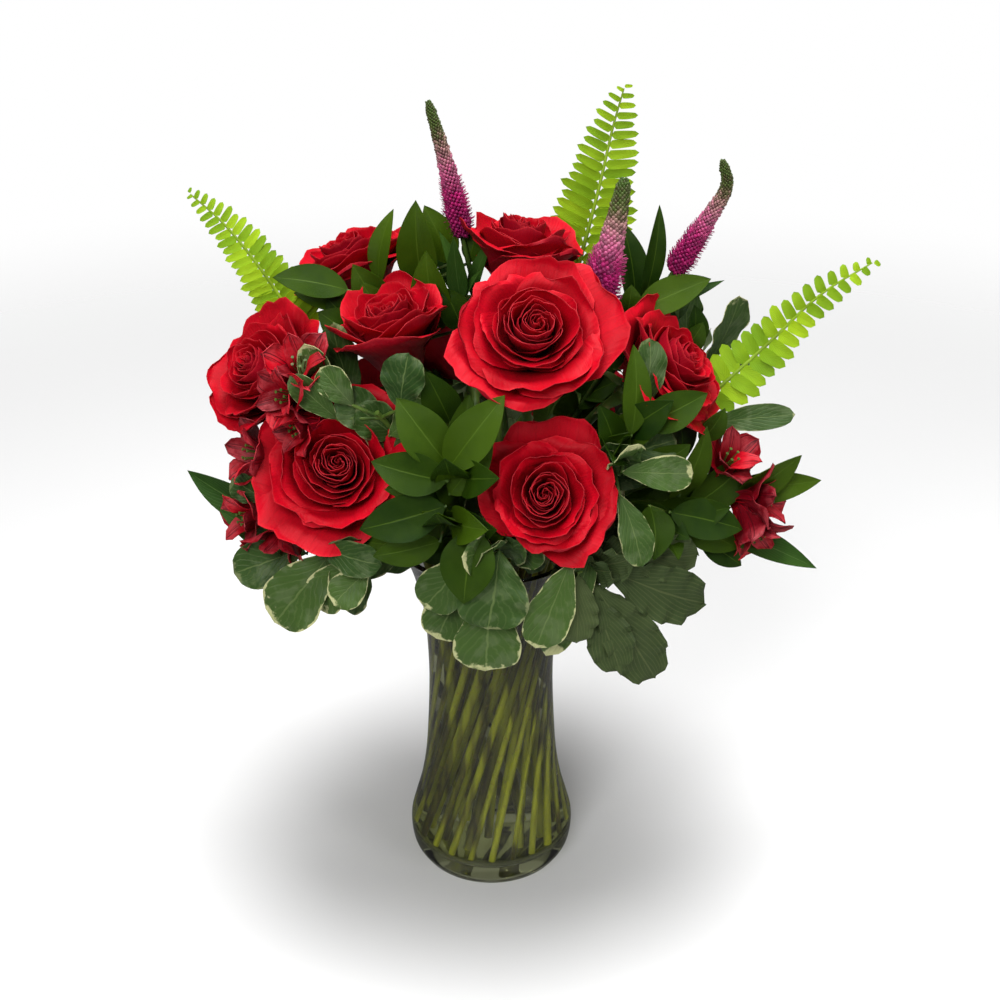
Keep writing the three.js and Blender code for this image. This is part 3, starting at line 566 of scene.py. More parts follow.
def thick_sheet(tree, mesh, thickness):
    """Closes sheets with a second side: under is 0 where the sheet's normals point, and 1 behind."""
    behind = tree.store(tree.field("GeometryNodeFlipFaces", {"Mesh": mesh}), "under", 1.0, domain="FACE")
    front = tree.store(mesh, "under", 0.0, domain="FACE")
    raised = tree.field("GeometryNodeExtrudeMesh", {
        "Mesh": front, "Offset Scale": thickness, "Individual": False}, mode="FACES")
    return tree.field("GeometryNodeMergeByDistance", {
        "Geometry": tree.joined(raised, behind), "Distance": SEAM_WELD})


def finish_mesh(tree, mesh, material, sent):
    smooth = tree.field("GeometryNodeSetShadeSmooth", {"Geometry": mesh})
    coloured = tree.field("GeometryNodeSetMaterial", {"Geometry": smooth, "Material": material})
    tree.join(coloured, sent.inputs["Geometry"])


def bloom_tree():
    """A rose: tight scrolls in the middle, then broader petals that open and roll back at their rims."""
    tree, given, sent = new_group("rose bloom", "GeometryNodeTree", {
        "Petals": ("int", 30), "Radius": ("float", 0.04), "Depth": ("float", 0.05), "Cup": ("float", 0.0),
        "Lean": ("vector", (0.1, 0.0, 0.0)), "Seed": ("int", 1), "Material": ("material", None)},
        {"Geometry": "geometry"})
    radius, depth, cup, seed = given["Radius"], given["Depth"], given["Cup"], given["Seed"]
    points = tree.field("GeometryNodePoints", {"Count": given["Petals"]})
    index = tree.field("GeometryNodeInputIndex")
    numbered = tree.store(points, "petal", index)
    tinted = tree.store(numbered, "tint", tree.random(0.0, 1.0, seed, index))
    mesh, across, along = sheet_grid(tree, tinted, PETAL_COLUMNS, PETAL_ROWS)
    petal = tree.attribute("petal")
    rank = petal / (given["Petals"] - 1.0)

    def vary(amount, step):
        return tree.random(-amount, amount, seed + step, petal)

    size = across.abs()
    outer = rank.step(0.35, 0.9)
    turn = petal * GOLDEN_TURN + vary(0.55, 1)
    # The top edge is rounded, with a soft point in the middle of the outer petals.
    edge = 1.0 - size ** 2.6 * (rank * 0.10 + 0.12) + (1.0 - size) ** 2.0 * outer * 0.05
    wander = tree.noise(tree.xyz(across * 1.3, petal * 3.7, 0.0), 1.1, 2.0) - 0.5
    reach = along * (edge + wander * (outer * 0.18 + 0.05))
    opening = reach.step(0.42, 1.0)
    spread = rank ** 1.28 * (1.0 + vary(0.12, 5))
    belly = radius * (spread * (0.60 - cup * 0.10) + 0.035)
    flare = radius * (rank ** 2.2 * (vary(0.06, 2) + 0.36 + cup * 0.08))
    closing = radius * (1.0 - rank) ** 3.0 * 0.05
    roll = reach.step(0.80, 1.02) * outer
    out = belly * (1.0 - (1.0 - reach).math("MAXIMUM", 0.0) ** 2.4) + (flare - closing) * opening ** 1.3
    out = out + radius * roll * (size * 0.04 + 0.03)
    side_curl = size.step(0.45, 1.0) * outer * reach.step(0.35, 0.95)
    out = out + radius * side_curl * (vary(0.06, 6) + 0.06)
    out = out - across * radius * (0.052 - rank * 0.010)
    top = depth * (rank * 0.34 - rank ** 2.0 * (0.50 - cup * 0.28) + 0.90 + vary(0.035, 3))
    rolled_down = depth * roll * (size ** 1.5 * 0.16 + 0.07) * (1.0 - cup * 0.4)
    up = top * reach.math("MAXIMUM", 0.0) ** 0.92 - rolled_down
    up = up - depth * side_curl * (0.06 + vary(0.03, 7))
    ripple = tree.noise(tree.xyz(across * 1.6, reach * 1.5, petal * 3.7), 1.5, 2.0) - 0.5
    out = out + radius * ripple * (rank * 0.34 + 0.05) * reach
    up = up + depth * ripple * 0.24 * reach.step(0.5, 1.0)
    frill = tree.noise(tree.xyz(across * 5.0, petal * 5.1, 2.0), 1.0, 1.0) - 0.5
    up = up + depth * frill * 0.05 * reach.step(0.75, 1.0)
    half = radius * (rank ** 0.75 * 0.80 + 0.16) * ((along * 2.2).math("MINIMUM", 1.0) * 0.7 + 0.3)
    angle = turn + across * (half / out.math("MAXIMUM", radius * 0.045)).math("MINIMUM", 2.7)
    heart = given["Lean"] * (radius * (1.0 - rank) ** 0.8 * reach)
    place = tree.xyz(out * angle.cos(), out * angle.sin() * (0.88 + outer * 0.12), up) + heart
    shaped = tree.field("GeometryNodeSetPosition", {"Geometry": mesh, "Position": place})
    finish_mesh(tree, thick_sheet(tree, shaped, SHEET_THICKNESS), given["Material"], sent)
    return tree


BLADE_INPUTS = {
    "Base Power": ("float", 0.8), "Tip Power": ("float", 1.0), "Arch": ("float", 0.09),
    "Fold": ("float", 0.25), "Wave": ("float", 0.02), "Waves": ("float", 12.0),
    "Columns": ("int", 9), "Rows": ("int", 15),
    "Thickness": ("float", SHEET_THICKNESS), "Seed": ("int", 1)}


def blades_tree():
    """Leaf blades on points that carry along (foot to tip), up (the way the upper side faces) and width."""
    tree, given, sent = new_group("leaf blades", "GeometryNodeTree", {
        "Points": ("geometry", None), **BLADE_INPUTS, "Material": ("material", None)},
        {"Geometry": "geometry"})
    seed = given["Seed"]
    index = tree.field("GeometryNodeInputIndex")
    rooted = tree.store(given["Points"], "foot", tree.field("GeometryNodeInputPosition"), "FLOAT_VECTOR")
    numbered = tree.store(rooted, "leaf", index)
    tinted = tree.store(numbered, "tint", tree.random(0.0, 1.0, seed, index))
    mesh, across, along = sheet_grid(tree, tinted, given["Columns"], given["Rows"])
    leaf = tree.attribute("leaf")
    run = tree.attribute("along", "FLOAT_VECTOR")
    width = tree.attribute("width")
    length = run.length()
    ahead = run.unit()
    side = ahead.cross(tree.attribute("up", "FLOAT_VECTOR")).unit()
    top = side.cross(ahead)
    low, high = given["Base Power"], given["Tip Power"]
    peak = (low / (low + high)) ** low * (high / (low + high)) ** high
    outline = along ** low * (1.0 - along) ** high / peak
    half = width * 0.5 * outline
    size = across.abs()
    arch = given["Arch"] + tree.random(-0.02, 0.03, seed + 1, leaf)
    phase = tree.random(0.0, 6.3, seed + 2, leaf)
    tilt = tree.random(-0.25, 0.25, seed + 3, leaf)
    rise = length * arch * 4.0 * along * (1.0 - along) + half * size ** 1.4 * given["Fold"]
    rise = rise + width * given["Wave"] * size ** 2.0 * (along * given["Waves"] + phase + across * 0.7).sin()
    sway = length * along * (1.0 - along) * tilt * 0.3
    rooted_at = tree.attribute("foot", "FLOAT_VECTOR")
    place = rooted_at + ahead * (length * along) + side * (across * half + sway) + top * rise
    shaped = tree.field("GeometryNodeSetPosition", {"Geometry": mesh, "Position": place})
    welded = tree.field("GeometryNodeMergeByDistance", {"Geometry": shaped, "Distance": TIP_WELD})
    finish_mesh(tree, thick_sheet(tree, welded, given["Thickness"]), given["Material"], sent)
    return tree


BLADES = blades_tree()


def round_bar(tree, curve, sides, material):
    """A round bar along a curve, as thick as its radius attribute says."""
    sized = tree.field("GeometryNodeSetCurveRadius", {"Curve": curve, "Radius": tree.attribute("radius")})
    ring = tree.field("GeometryNodeCurvePrimitiveCircle", {"Resolution": sides, "Radius": 1.0})
    made = tree.node("GeometryNodeCurveToMesh", {
        "Curve": sized, "Profile Curve": ring, "Scale": tree.field("GeometryNodeInputRadius"),
        "Fill Caps": True})
    smooth = tree.field("GeometryNodeSetShadeSmooth", {"Geometry": made.outputs[0]})
    return tree.field("GeometryNodeSetMaterial", {"Geometry": smooth, "Material": material})


def blades_on(tree, given, points):
    """A blade on every point, shaped by the inputs that a tree was given."""
    made = put_group(tree, BLADES, {
        "Points": points, "Material": given["Leaf Material"], **{key: given[key] for key in BLADE_INPUTS}})
    return Field(tree, made.outputs[0])


def sprig_tree():
    """A stem and its side stalks as bars, with a blade on every leaf point."""
    tree, given, sent = new_group("sprig", "GeometryNodeTree", {
        "Geometry": ("geometry", None), **BLADE_INPUTS, "Stem Sides": ("int", 10),
        "Leaf Material": ("material", None), "Stem Material": ("material", None)}, {"Geometry": "geometry"})
    is_leaf = tree.attribute("width").math("GREATER_THAN", 0.0)
    leaves = tree.field("GeometryNodeMeshToPoints", {"Mesh": given["Geometry"], "Selection": is_leaf})
    curve = tree.field("GeometryNodeMeshToCurve", {"Mesh": given["Geometry"]})
    bars = round_bar(tree, curve, given["Stem Sides"], given["Stem Material"])
    tree.join(tree.joined(blades_on(tree, given, leaves), bars), sent.inputs["Geometry"])
    return tree


def frond_tree():
    """A fern frond: pinnae in pairs at an even pitch, shorter towards the tip."""
    tree, given, sent = new_group("fern frond", "GeometryNodeTree", {
        "Geometry": ("geometry", None), "Pitch": ("float", 0.006), "Width": ("float", 0.033),
        "Pinna Width": ("float", 0.006), "Forward": ("float", 0.3), "Upper": ("vector", (0, 0, 1)),
        **BLADE_INPUTS, "Leaf Material": ("material", None), "Stem Material": ("material", None)},
        {"Geometry": "geometry"})
    curve = tree.field("GeometryNodeMeshToCurve", {"Mesh": given["Geometry"]})
    bars = round_bar(tree, curve, SLIM_STEM_SIDES, given["Stem Material"])
    frond = tree.field("GeometryNodeSeparateGeometry", {
        "Geometry": given["Geometry"], "Selection": tree.attribute("frond").math("GREATER_THAN", 0.5)},
        domain="POINT")
    rachis = tree.field("GeometryNodeMeshToCurve", {"Mesh": frond})
    pinnae = tree.joined(*[pinna_points(tree, given, rachis, hand) for hand in (-1.0, 1.0)])
    tree.join(tree.joined(blades_on(tree, given, pinnae), bars), sent.inputs["Geometry"])
    return tree


def pinna_points(tree, given, rachis, hand):
    """Leaf points down one side of a frond, which hand names as -1 or 1."""
    spaced = tree.node("GeometryNodeCurveToPoints", {"Curve": rachis, "Length": given["Pitch"]},
                       mode="LENGTH")
    points, ahead = Field(tree, spaced.outputs["Points"]), Field(tree, spaced.outputs["Tangent"])
    number = tree.field("GeometryNodeInputIndex")
    count = tree.field("GeometryNodeAttributeDomainSize", {"Geometry": points}, out="Point Count",
                       component="POINTCLOUD")
    run = (number + 0.5) / count
    jitter = tree.random(0.9, 1.08, 7 + int(hand), number)
    taper = (run * 3.0 + 0.75).math("MINIMUM", 1.0) * (1.0 - run) ** 0.6
    reach = given["Width"] * 0.5 * taper + 0.0015
    side = ahead.cross(given["Upper"]).unit() * hand
    out = (side + ahead * given["Forward"]).unit() * (reach * jitter)
    stored = tree.store(points, "along", out, "FLOAT_VECTOR")
    stored = tree.store(stored, "up", side.cross(ahead).unit() * hand, "FLOAT_VECTOR")
    stored = tree.store(stored, "width", given["Pinna Width"] * (1.0 - run) ** 0.35)
    shift = ahead * (given["Pitch"] * 0.25 * hand)
    return tree.field("GeometryNodeSetPosition", {"Geometry": stored, "Offset": shift})


def spike_tree():
    """A speedwell spike: beads in close spiral rows, with stamens low down and small buds at the tip."""
    tree, given, sent = new_group("speedwell spike", "GeometryNodeTree", {
        "Geometry": ("geometry", None), "Florets": ("int", 560), "Foot": ("float", 0.009), "Seed": ("int", 1),
        "Flower Material": ("material", None), "Stem Material": ("material", None)}, {"Geometry": "geometry"})
    curve = tree.field("GeometryNodeMeshToCurve", {"Mesh": given["Geometry"]})
    bars = round_bar(tree, curve, SLIM_STEM_SIDES, given["Stem Material"])
    spaced = tree.node("GeometryNodeCurveToPoints", {"Curve": curve, "Count": given["Florets"]}, mode="COUNT")
    points, ahead = Field(tree, spaced.outputs["Points"]), Field(tree, spaced.outputs["Tangent"])
    normal = Field(tree, spaced.outputs["Normal"])
    number = tree.field("GeometryNodeInputIndex")
    run = number / given["Florets"]
    turn = number * GOLDEN_TURN
    out = (normal * turn.cos() + normal.cross(ahead) * turn.sin()).unit()
    full = run.step(0.0, 0.12) * 0.3 + 0.7
    body = given["Foot"] * full * (1.0 - run * 0.66) * (1.0 - run.step(0.93, 1.0) * 0.5)
    loose = tree.random(0.86, 1.06, given["Seed"] + 2, number)
    stored = tree.store(points, "run", run)
    stored = tree.store(stored, "tint", tree.random(0.0, 1.0, given["Seed"], number))
    turned = tree.field("FunctionNodeAlignRotationToVector", {
        "Vector": ahead * (run * 0.8 + 0.35) + out}, axis="Z")
    size = given["Foot"] * (0.16 - run * 0.085) * tree.random(0.85, 1.15, given["Seed"] + 1, number)
    stored = tree.field("GeometryNodeSetPosition", {
        "Geometry": stored, "Offset": out * (body * 0.62 * loose)})
    bud = tree.field("GeometryNodeMeshUVSphere", {"Segments": 6, "Rings": 5, "Radius": 1.0})
    bud = tree.field("GeometryNodeTransform", {"Geometry": bud, "Scale": (0.9, 0.9, 1.35)})
    thread = tree.field("GeometryNodeMeshCone", {
        "Vertices": 4, "Radius Top": 0.10, "Radius Bottom": 0.14, "Depth": 2.3}, out="Mesh")
    stamens = [tree.field("GeometryNodeTransform", {
        "Geometry": thread, "Rotation": tilt, "Translation": (0, 0, 0.6)})
        for tilt in ((0.5, 0.1, 0), (-0.45, 0.3, 0))]
    is_open = run.math("LESS_THAN", OPEN_SHARE)
    florets = [tree.field("GeometryNodeInstanceOnPoints", {
        "Points": stored, "Selection": chosen, "Instance": shape, "Rotation": turned, "Scale": size})
        for chosen, shape in ((is_open, tree.joined(bud, *stamens)), (1.0 - is_open, bud))]
    mesh = tree.field("GeometryNodeRealizeInstances", {"Geometry": tree.joined(*florets)})
    smooth = tree.field("GeometryNodeSetShadeSmooth", {"Geometry": mesh})
    coloured = tree.field("GeometryNodeSetMaterial", {
        "Geometry": smooth, "Material": given["Flower Material"]})
    tree.join(tree.joined(coloured, bars), sent.inputs["Geometry"])
    return tree


BLOOM = bloom_tree()
SPRIG = sprig_tree()
FROND = frond_tree()
SPIKE = spike_tree()

# ---- skeletons: lines for stems and points for leaves --------------------------------------------


class Skeleton:
    """The lines and leaf points that a sprig grows on, in metres."""

    def __init__(self):
        self.points = []
        self.edges = []
        self.values = {"radius": [], "width": [], "frond": [], "along": [], "up": []}

    def add(self, place, radius=0.001, width=0.0, frond=0.0, along=(0, 0, 1), up=(0, 0, 1)):
        self.points.append(Vector(place))
        for key, value in dict(radius=radius, width=width, frond=frond, along=along, up=up).items():
            self.values[key].append(value)
        return len(self.points) - 1

    def line(self, places, radii, frond=0.0):
        first = len(self.points)
        for place, radius in zip(places, radii):
            self.add(place, radius, frond=frond)
        self.edges += [(k, k + 1) for k in range(first, len(self.points) - 1)]

    def mesh(self, name):
        mesh = bpy.data.meshes.new(name)
        mesh.from_pydata(self.points, self.edges, [])
        for key, kind in {"radius": "FLOAT", "width": "FLOAT", "frond": "FLOAT",
                          "along": "FLOAT_VECTOR", "up": "FLOAT_VECTOR"}.items():
            layer = mesh.attributes.new(key, kind, "POINT")
            for item, value in zip(layer.data, self.values[key]):
                if kind == "FLOAT":
                    item.value = value
                else:
                    item.vector = value
        return mesh


def bezier_at(first, second, third, fourth, t):
    back = 1 - t
    return first * back ** 3 + second * 3 * t * back ** 2 + third * 3 * t * t * back + fourth * t ** 3


def smooth_path(points, steps):
    """A Catmull-Rom path through points, ends included."""
    points = [Vector(p) * MM for p in points]
    ends = [points[0] * 2 - points[1], *points, points[-1] * 2 - points[-2]]
    made = []
    for k in range(len(points) - 1):
        a, b, c, d = ends[k:k + 4]
        for j in range(steps):
            t = j / steps
            square, cube = a * 2 - b * 5 + c * 4 - d, b * 3 - a - c * 3 + d
            made.append((b * 2 + (c - a) * t + square * t * t + cube * t ** 3) / 2)
    return [*made, points[-1]]


# ---- the vase ------------------------------------------------------------------------------------

# Outside of the vase as (radius, height) in millimetres, from the table to the mouth.
VASE_OUTLINE = [(45.5, 0), (49.9, 8.4), (51, 21), (48.3, 33), (43.7, 51), (40.1, 76), (37.7, 121),
                (38.1, 151), (39.9, 174.5), (44.2, 195.7), (49.1, 210.9), (55, 222)]
VASE_HEIGHT, WALL, VASE_FLOOR, WATER_LEVEL, WAIST = 222, 3.5, 13, 192, 121
# The underside of the foot, also as (radius, height).
VASE_HEEL = [(0, 1.2), (36, 1.2), (41, 0), (44.5, 0.3)]
# Where the inside floor rounds into the wall, as (inward from the wall, up from the floor).
BOWL_EDGE = [(9, 0), (4, 1), (1, 3.6)]
BOWL_ROUNDING = 7
INTO_GLASS = 0.2
# The surface of the water climbs a little at the glass, as (outward from the wall, up from the level).
MENISCUS = [(0.6, 0.8), (-0.9, -0.4), (-3.4, -0.8)]


def outside_of_vase():
    """The outline as a smooth run of (radius, height)."""
    return [(p.x, p.z) for p in smooth_path([(r, 0, z) for r, z in VASE_OUTLINE], 8)]


def turned(name, profile, segments=128):
    """A closed turned body from a profile that starts and ends on the axis."""
    points, faces = [], []
    for radius, height in profile[1:-1]:
        points += [(radius * cos(2 * pi * k / segments), radius * sin(2 * pi * k / segments), height)
                   for k in range(segments)]
    rows = len(profile) - 2
    for row in range(rows - 1):
        for k in range(segments):
            a, b = row * segments + k, row * segments + (k + 1) % segments
            faces.append((a, b, b + segments, a + segments))
    bottom, top = len(points), len(points) + 1
    points += [(0, 0, profile[0][1]), (0, 0, profile[-1][1])]
    last = (rows - 1) * segments
    for k in range(segments):
        faces.append((bottom, (k + 1) % segments, k))
        faces.append((top, last + k, last + (k + 1) % segments))
    mesh = bpy.data.meshes.new(name)
    mesh.from_pydata(points, [], faces)
    mesh.polygons.foreach_set("use_smooth", [True] * len(mesh.polygons))
    mesh.set_sharp_from_angle(angle=radians(40))
    return new_object(name, mesh)


def make_vase():
    outside = outside_of_vase()
    inside = [(r - WALL * MM, z) for r, z in outside if z > (VASE_FLOOR + BOWL_ROUNDING) * MM][::-1]
    half = WALL * MM / 2
    lip_r, lip_z = outside[-1][0] - half, outside[-1][1] - half
    lip = [(lip_r + half * cos(a), lip_z + half * sin(a)) for a in (0.3, 0.8, 1.3, 1.8, 2.3, 2.8)]
    bowl_r = inside[-1][0]
    bowl = [(bowl_r - inward * MM, (VASE_FLOOR + up) * MM) for inward, up in BOWL_EDGE[::-1]]
    heel = [(r * MM, z * MM) for r, z in VASE_HEEL]
    piece = turned("vase_glass", [*heel, *outside[1:-1], *lip, *inside[1:], *bowl, (0, VASE_FLOOR * MM)])
    piece.data.materials.append(GLASS)
    keep(piece, "glass", "vase")


def make_water():
    """The water reaches a hair into the glass, so that light passes straight from one to the other."""
    side = [(r + (INTO_GLASS - WALL) * MM, z) for r, z in outside_of_vase()
            if (VASE_FLOOR + BOWL_ROUNDING) * MM < z < (WATER_LEVEL - 3) * MM]
    floor = (VASE_FLOOR - INTO_GLASS) * MM
    bowl = [(side[0][0] - inward * MM, floor + (up + 0.1) * MM) for inward, up in BOWL_EDGE[1:]]
    bottom = [(0, floor), (side[0][0] - BOWL_EDGE[0][0] * MM, floor), *bowl]
    surface = [(side[-1][0] + out * MM, (WATER_LEVEL + up) * MM) for out, up in MENISCUS]
    piece = turned("vase_water", [*bottom, *side, *surface, (0, surface[-1][1])])
    piece.data.materials.append(WATER)
    keep(piece, "water", "water")


# ---- stems ---------------------------------------------------------------------------------------

STEM_RADIUS = {"rose": 2.8, "speedwell": 2.1, "fern": 1.5, "lily": 2.0, "ruscus": 1.8, "pittosporum": 2.2}
RINGS = {"outer": (21, 29.2, 0.27), "inner": (13, 17.5, 0.24), "core": (3, 6.0, 0.12)}
STEM_FOOT, GATHER = 16, 215
STEM_SHARE = 0.95  # of its solid's radius
STEM_TIP = 0.7  # of its radius in the vase
STRAIGHT_STEPS, BEND_STEPS = 8, 26
FIRST_LEAF_STEP = 12  # leaves join a stem from this step of its route on


def stem_ends(ring, place):
    """The cut foot of a stem, and the point where it leaves the vase."""
    places, radius, lean = RINGS[ring]
    twist = atan(lean * (GATHER - WAIST) / radius)
    turn = 2 * pi * place / places - pi / 2 - twist

    def at(z):
        slide = lean * (z - WAIST)
        across = radius * cos(turn) - slide * sin(turn)
        return Vector((across, radius * sin(turn) + slide * cos(turn), z)) * MM

    return at(STEM_FOOT), at(GATHER)


def stem_bend(ring, place, end, along):
    """The four control points of a stem's curve above the vase."""
    foot, gather = stem_ends(ring, place)
    reach = (gather - end).length
    return gather, gather + (gather - foot).normalized() * reach * 0.4, end - along * reach * 0.35, end


def stem_route(ring, place, end, along):
    """The way of one stem: straight through the vase, then a curve to its flower."""
    foot, gather = stem_ends(ring, place)
    straight = [foot.lerp(gather, k / STRAIGHT_STEPS) for k in range(STRAIGHT_STEPS)]
    bend = stem_bend(ring, place, end, along)
    return straight + [bezier_at(*bend, k / BEND_STEPS) for k in range(BEND_STEPS + 1)]


# ---- the roses -----------------------------------------------------------------------------------

# The hip under a bloom, as (share of its length, share of its radius) from the stem up.
HIP = [(0.25, 0.72), (0.55, 1.0), (0.8, 0.92), (1.0, 0.75)]
HIP_LENGTH, HIP_RADIUS = 9.4, 5.6
SEPALS, SEPAL_LENGTH, SEPAL_WIDTH, SEPAL_RING = 5, 22, 7, 4.5

# name: ring, place, middle of the open face, the way it looks, width, depth, cup (0 open, 1 tall)
ROSES = {
    "front_top": ("inner", 1, (21, -70, 382), (0.02, -0.72, 0.69), 84, 50, 0),
    "front_low": ("outer", 1, (31, -98, 301), (0.05, -0.82, 0.57), 73, 48, 0),
    "front_left": ("outer", 17, (-81, -75, 304), (-0.05, -0.84, 0.54), 91, 48, 0),
    "top_left": ("inner", 10, (-54, -20, 372), (-0.2, -0.12, 0.97), 74, 56, 1),
    "side_left": ("outer", 16, (-132, -22, 340), (-0.6, -0.45, 0.66), 78, 48, 0.2),
    "top_back_left": ("inner", 9, (-84, 48, 386), (-0.35, 0.05, 0.93), 84, 45, 0.3),
    "top_back": ("core", 0, (20, 16, 406), (0.15, 0.12, 0.98), 72, 50, 0.5),
    "side_right": ("inner", 3, (108, -30, 350), (0.7, -0.3, 0.64), 80, 48, 0),
    "back_right": ("inner", 6, (62, 62, 332), (0.4, 0.6, 0.7), 70, 48, 0.2),
    "back": ("outer", 11, (-12, 98, 318), (-0.05, 0.85, 0.52), 74, 48, 0),
    "back_low_left": ("outer", 13, (-76, 88, 287), (-0.5, 0.75, 0.42), 70, 45, 0.2),
    "back_low_right": ("outer", 8, (84, 90, 276), (0.55, 0.72, 0.42), 68, 45, 0.1),
}


def rose_bloom(number, name, foot, along, width, depth, cup):
    bloom = new_object(f"rose_{name}_petals")
    lean = (0.10 * cos(number * 2.2), 0.10 * sin(number * 2.2), 0.0)
    grow(bloom, BLOOM, {"Petals": 30, "Radius": width * MM / 2, "Depth": depth * MM, "Cup": float(cup),
                        "Lean": lean, "Seed": 10 + number * 7, "Material": ROSE_PETAL})
    spin = Matrix.Rotation(number * 1.3, 4, "Z")
    turn = Vector((0, 0, 1)).rotation_difference(along).to_matrix().to_4x4()
    bloom.data.transform(Matrix.Translation(foot) @ turn @ spin)
    keep(bloom, "rose_petal", f"rose_{name}_bloom")


def rose_stalk(number, name, ring, place, foot, along):
    """The stem of a rose, the hip that swells under its bloom, and the sepals."""
    bones = Skeleton()
    route = stem_route(ring, place, foot - along * HIP_LENGTH * MM, along)
    places = route + [foot - along * (1 - share) * HIP_LENGTH * MM for share, size in HIP]
    radii = [STEM_RADIUS["rose"] * MM * STEM_SHARE] * len(route)
    bones.line(places, radii + [HIP_RADIUS * MM * size for share, size in HIP])
    sideways = along.orthogonal().normalized()
    for k in range(SEPALS):
        out = Matrix.Rotation(2 * pi * k / SEPALS + number, 3, along) @ sideways
        sepal = (out * 0.8 - along * (0.4 + 0.3 * (k % 2))).normalized() * SEPAL_LENGTH * MM
        bones.add(foot + out * SEPAL_RING * MM, width=SEPAL_WIDTH * MM, along=sepal, up=out + along)
    stalk = new_object(f"rose_{name}_stalk", bones.mesh(f"rose_{name}_stalk"))
    grow(stalk, SPRIG, {"Base Power": 0.25, "Tip Power": 1.1, "Arch": 0.12, "Fold": 0.2, "Wave": 0.03,
                        "Columns": 5, "Rows": 9, "Seed": number, "Stem Sides": 12,
                        "Leaf Material": GREEN_STEM, "Stem Material": GREEN_STEM})
    keep(stalk, "rose_stem", f"rose_{name}_stem")


def make_roses():
    for number, (name, row) in enumerate(ROSES.items()):
        ring, place, rim, faces, width, depth, cup = row
        along = Vector(faces).normalized()
        foot = Vector(rim) * MM - along * depth * MM
        rose_bloom(number, name, foot, along, width, depth, cup)
        rose_stalk(number, name, ring, place, foot, along)


# ---- sprigs --------------------------------------------------------------------------------------

# A leaf turns its upper side away from the heart of the bouquet, and towards the front or the back.
HEART = Vector((0, 0, 245)) * MM
FRONT_REACH = 0.035


def upper_side(foot, tip):
    middle = foot.lerp(tip, 0.5)
    return (middle - HEART).normalized() + Vector((0, -0.9 if middle.y < FRONT_REACH else 0.9, 0.3))


def add_leaf(bones, route, foot, tip, width):
    """A leaf point and the stalk that joins it to the nearest place on the stem."""
    foot, tip = Vector(foot) * MM, Vector(tip) * MM
    near = min(range(FIRST_LEAF_STEP, len(route)), key=lambda k: (route[k] - foot).length)
    held = route[max(FIRST_LEAF_STEP, near - 1)]
    run = tip - foot
    out = upper_side(foot, tip)
    middle = held.lerp(foot, 0.5) + out.normalized() * (foot - held).length * 0.08
    bones.line([held, middle, foot, foot + run * 0.1], [0.0011, 0.0010, 0.0009, 0.0005])
    bones.add(foot, width=width * MM, along=run, up=out)


def make_sprig(name, node, slot_name, kind, ring, place, end, leaves, leaf_look, along=None):
    end = Vector(end) * MM
    along = along or (end - Vector((0, 0, VASE_HEIGHT)) * MM).normalized()
    route = stem_route(ring, place, end, along)
    radius = STEM_RADIUS[kind] * MM * STEM_SHARE
    bones = Skeleton()
    free = len(route) - STRAIGHT_STEPS
    thinned = [max(0, (k - STRAIGHT_STEPS) / free) for k in range(len(route))]
    bones.line(route, [radius * (1 - (1 - STEM_TIP) * share) for share in thinned])
    for leaf in leaves:
        add_leaf(bones, route, *leaf)
    piece = new_object(name, bones.mesh(name))
    grow(piece, SPRIG, {"Stem Sides": 10, "Stem Material": GREEN_STEM, **leaf_look})
    keep(piece, slot_name, node)


RUSCUS_LOOK = {"Base Power": 0.75, "Tip Power": 0.95, "Arch": 0.08, "Fold": 0.22, "Wave": 0.015, "Waves": 7.0,
               "Columns": 9, "Rows": 17, "Leaf Material": RUSCUS_LEAF}
PITTOSPORUM_LOOK = {"Base Power": 0.95, "Tip Power": 0.52, "Arch": 0.07, "Fold": 0.15, "Wave": 0.045,
                    "Waves": 19.0, "Columns": 13, "Rows": 21, "Leaf Material": VARIEGATED_LEAF}
# The low sprig on the right has jagged grey leaves without cream on them.
SPECIAL_LOOKS = {"right_low": {"Leaf Material": GREY_LEAF, "Wave": 0.09, "Waves": 31.0, "Tip Power": 0.62}}
SPEEDWELL_LOOK = {"Base Power": 0.6, "Tip Power": 1.0, "Arch": 0.06, "Fold": 0.3, "Wave": 0.01, "Waves": 9.0,
                  "Columns": 7, "Rows": 11, "Leaf Material": SPEEDWELL_LEAF}

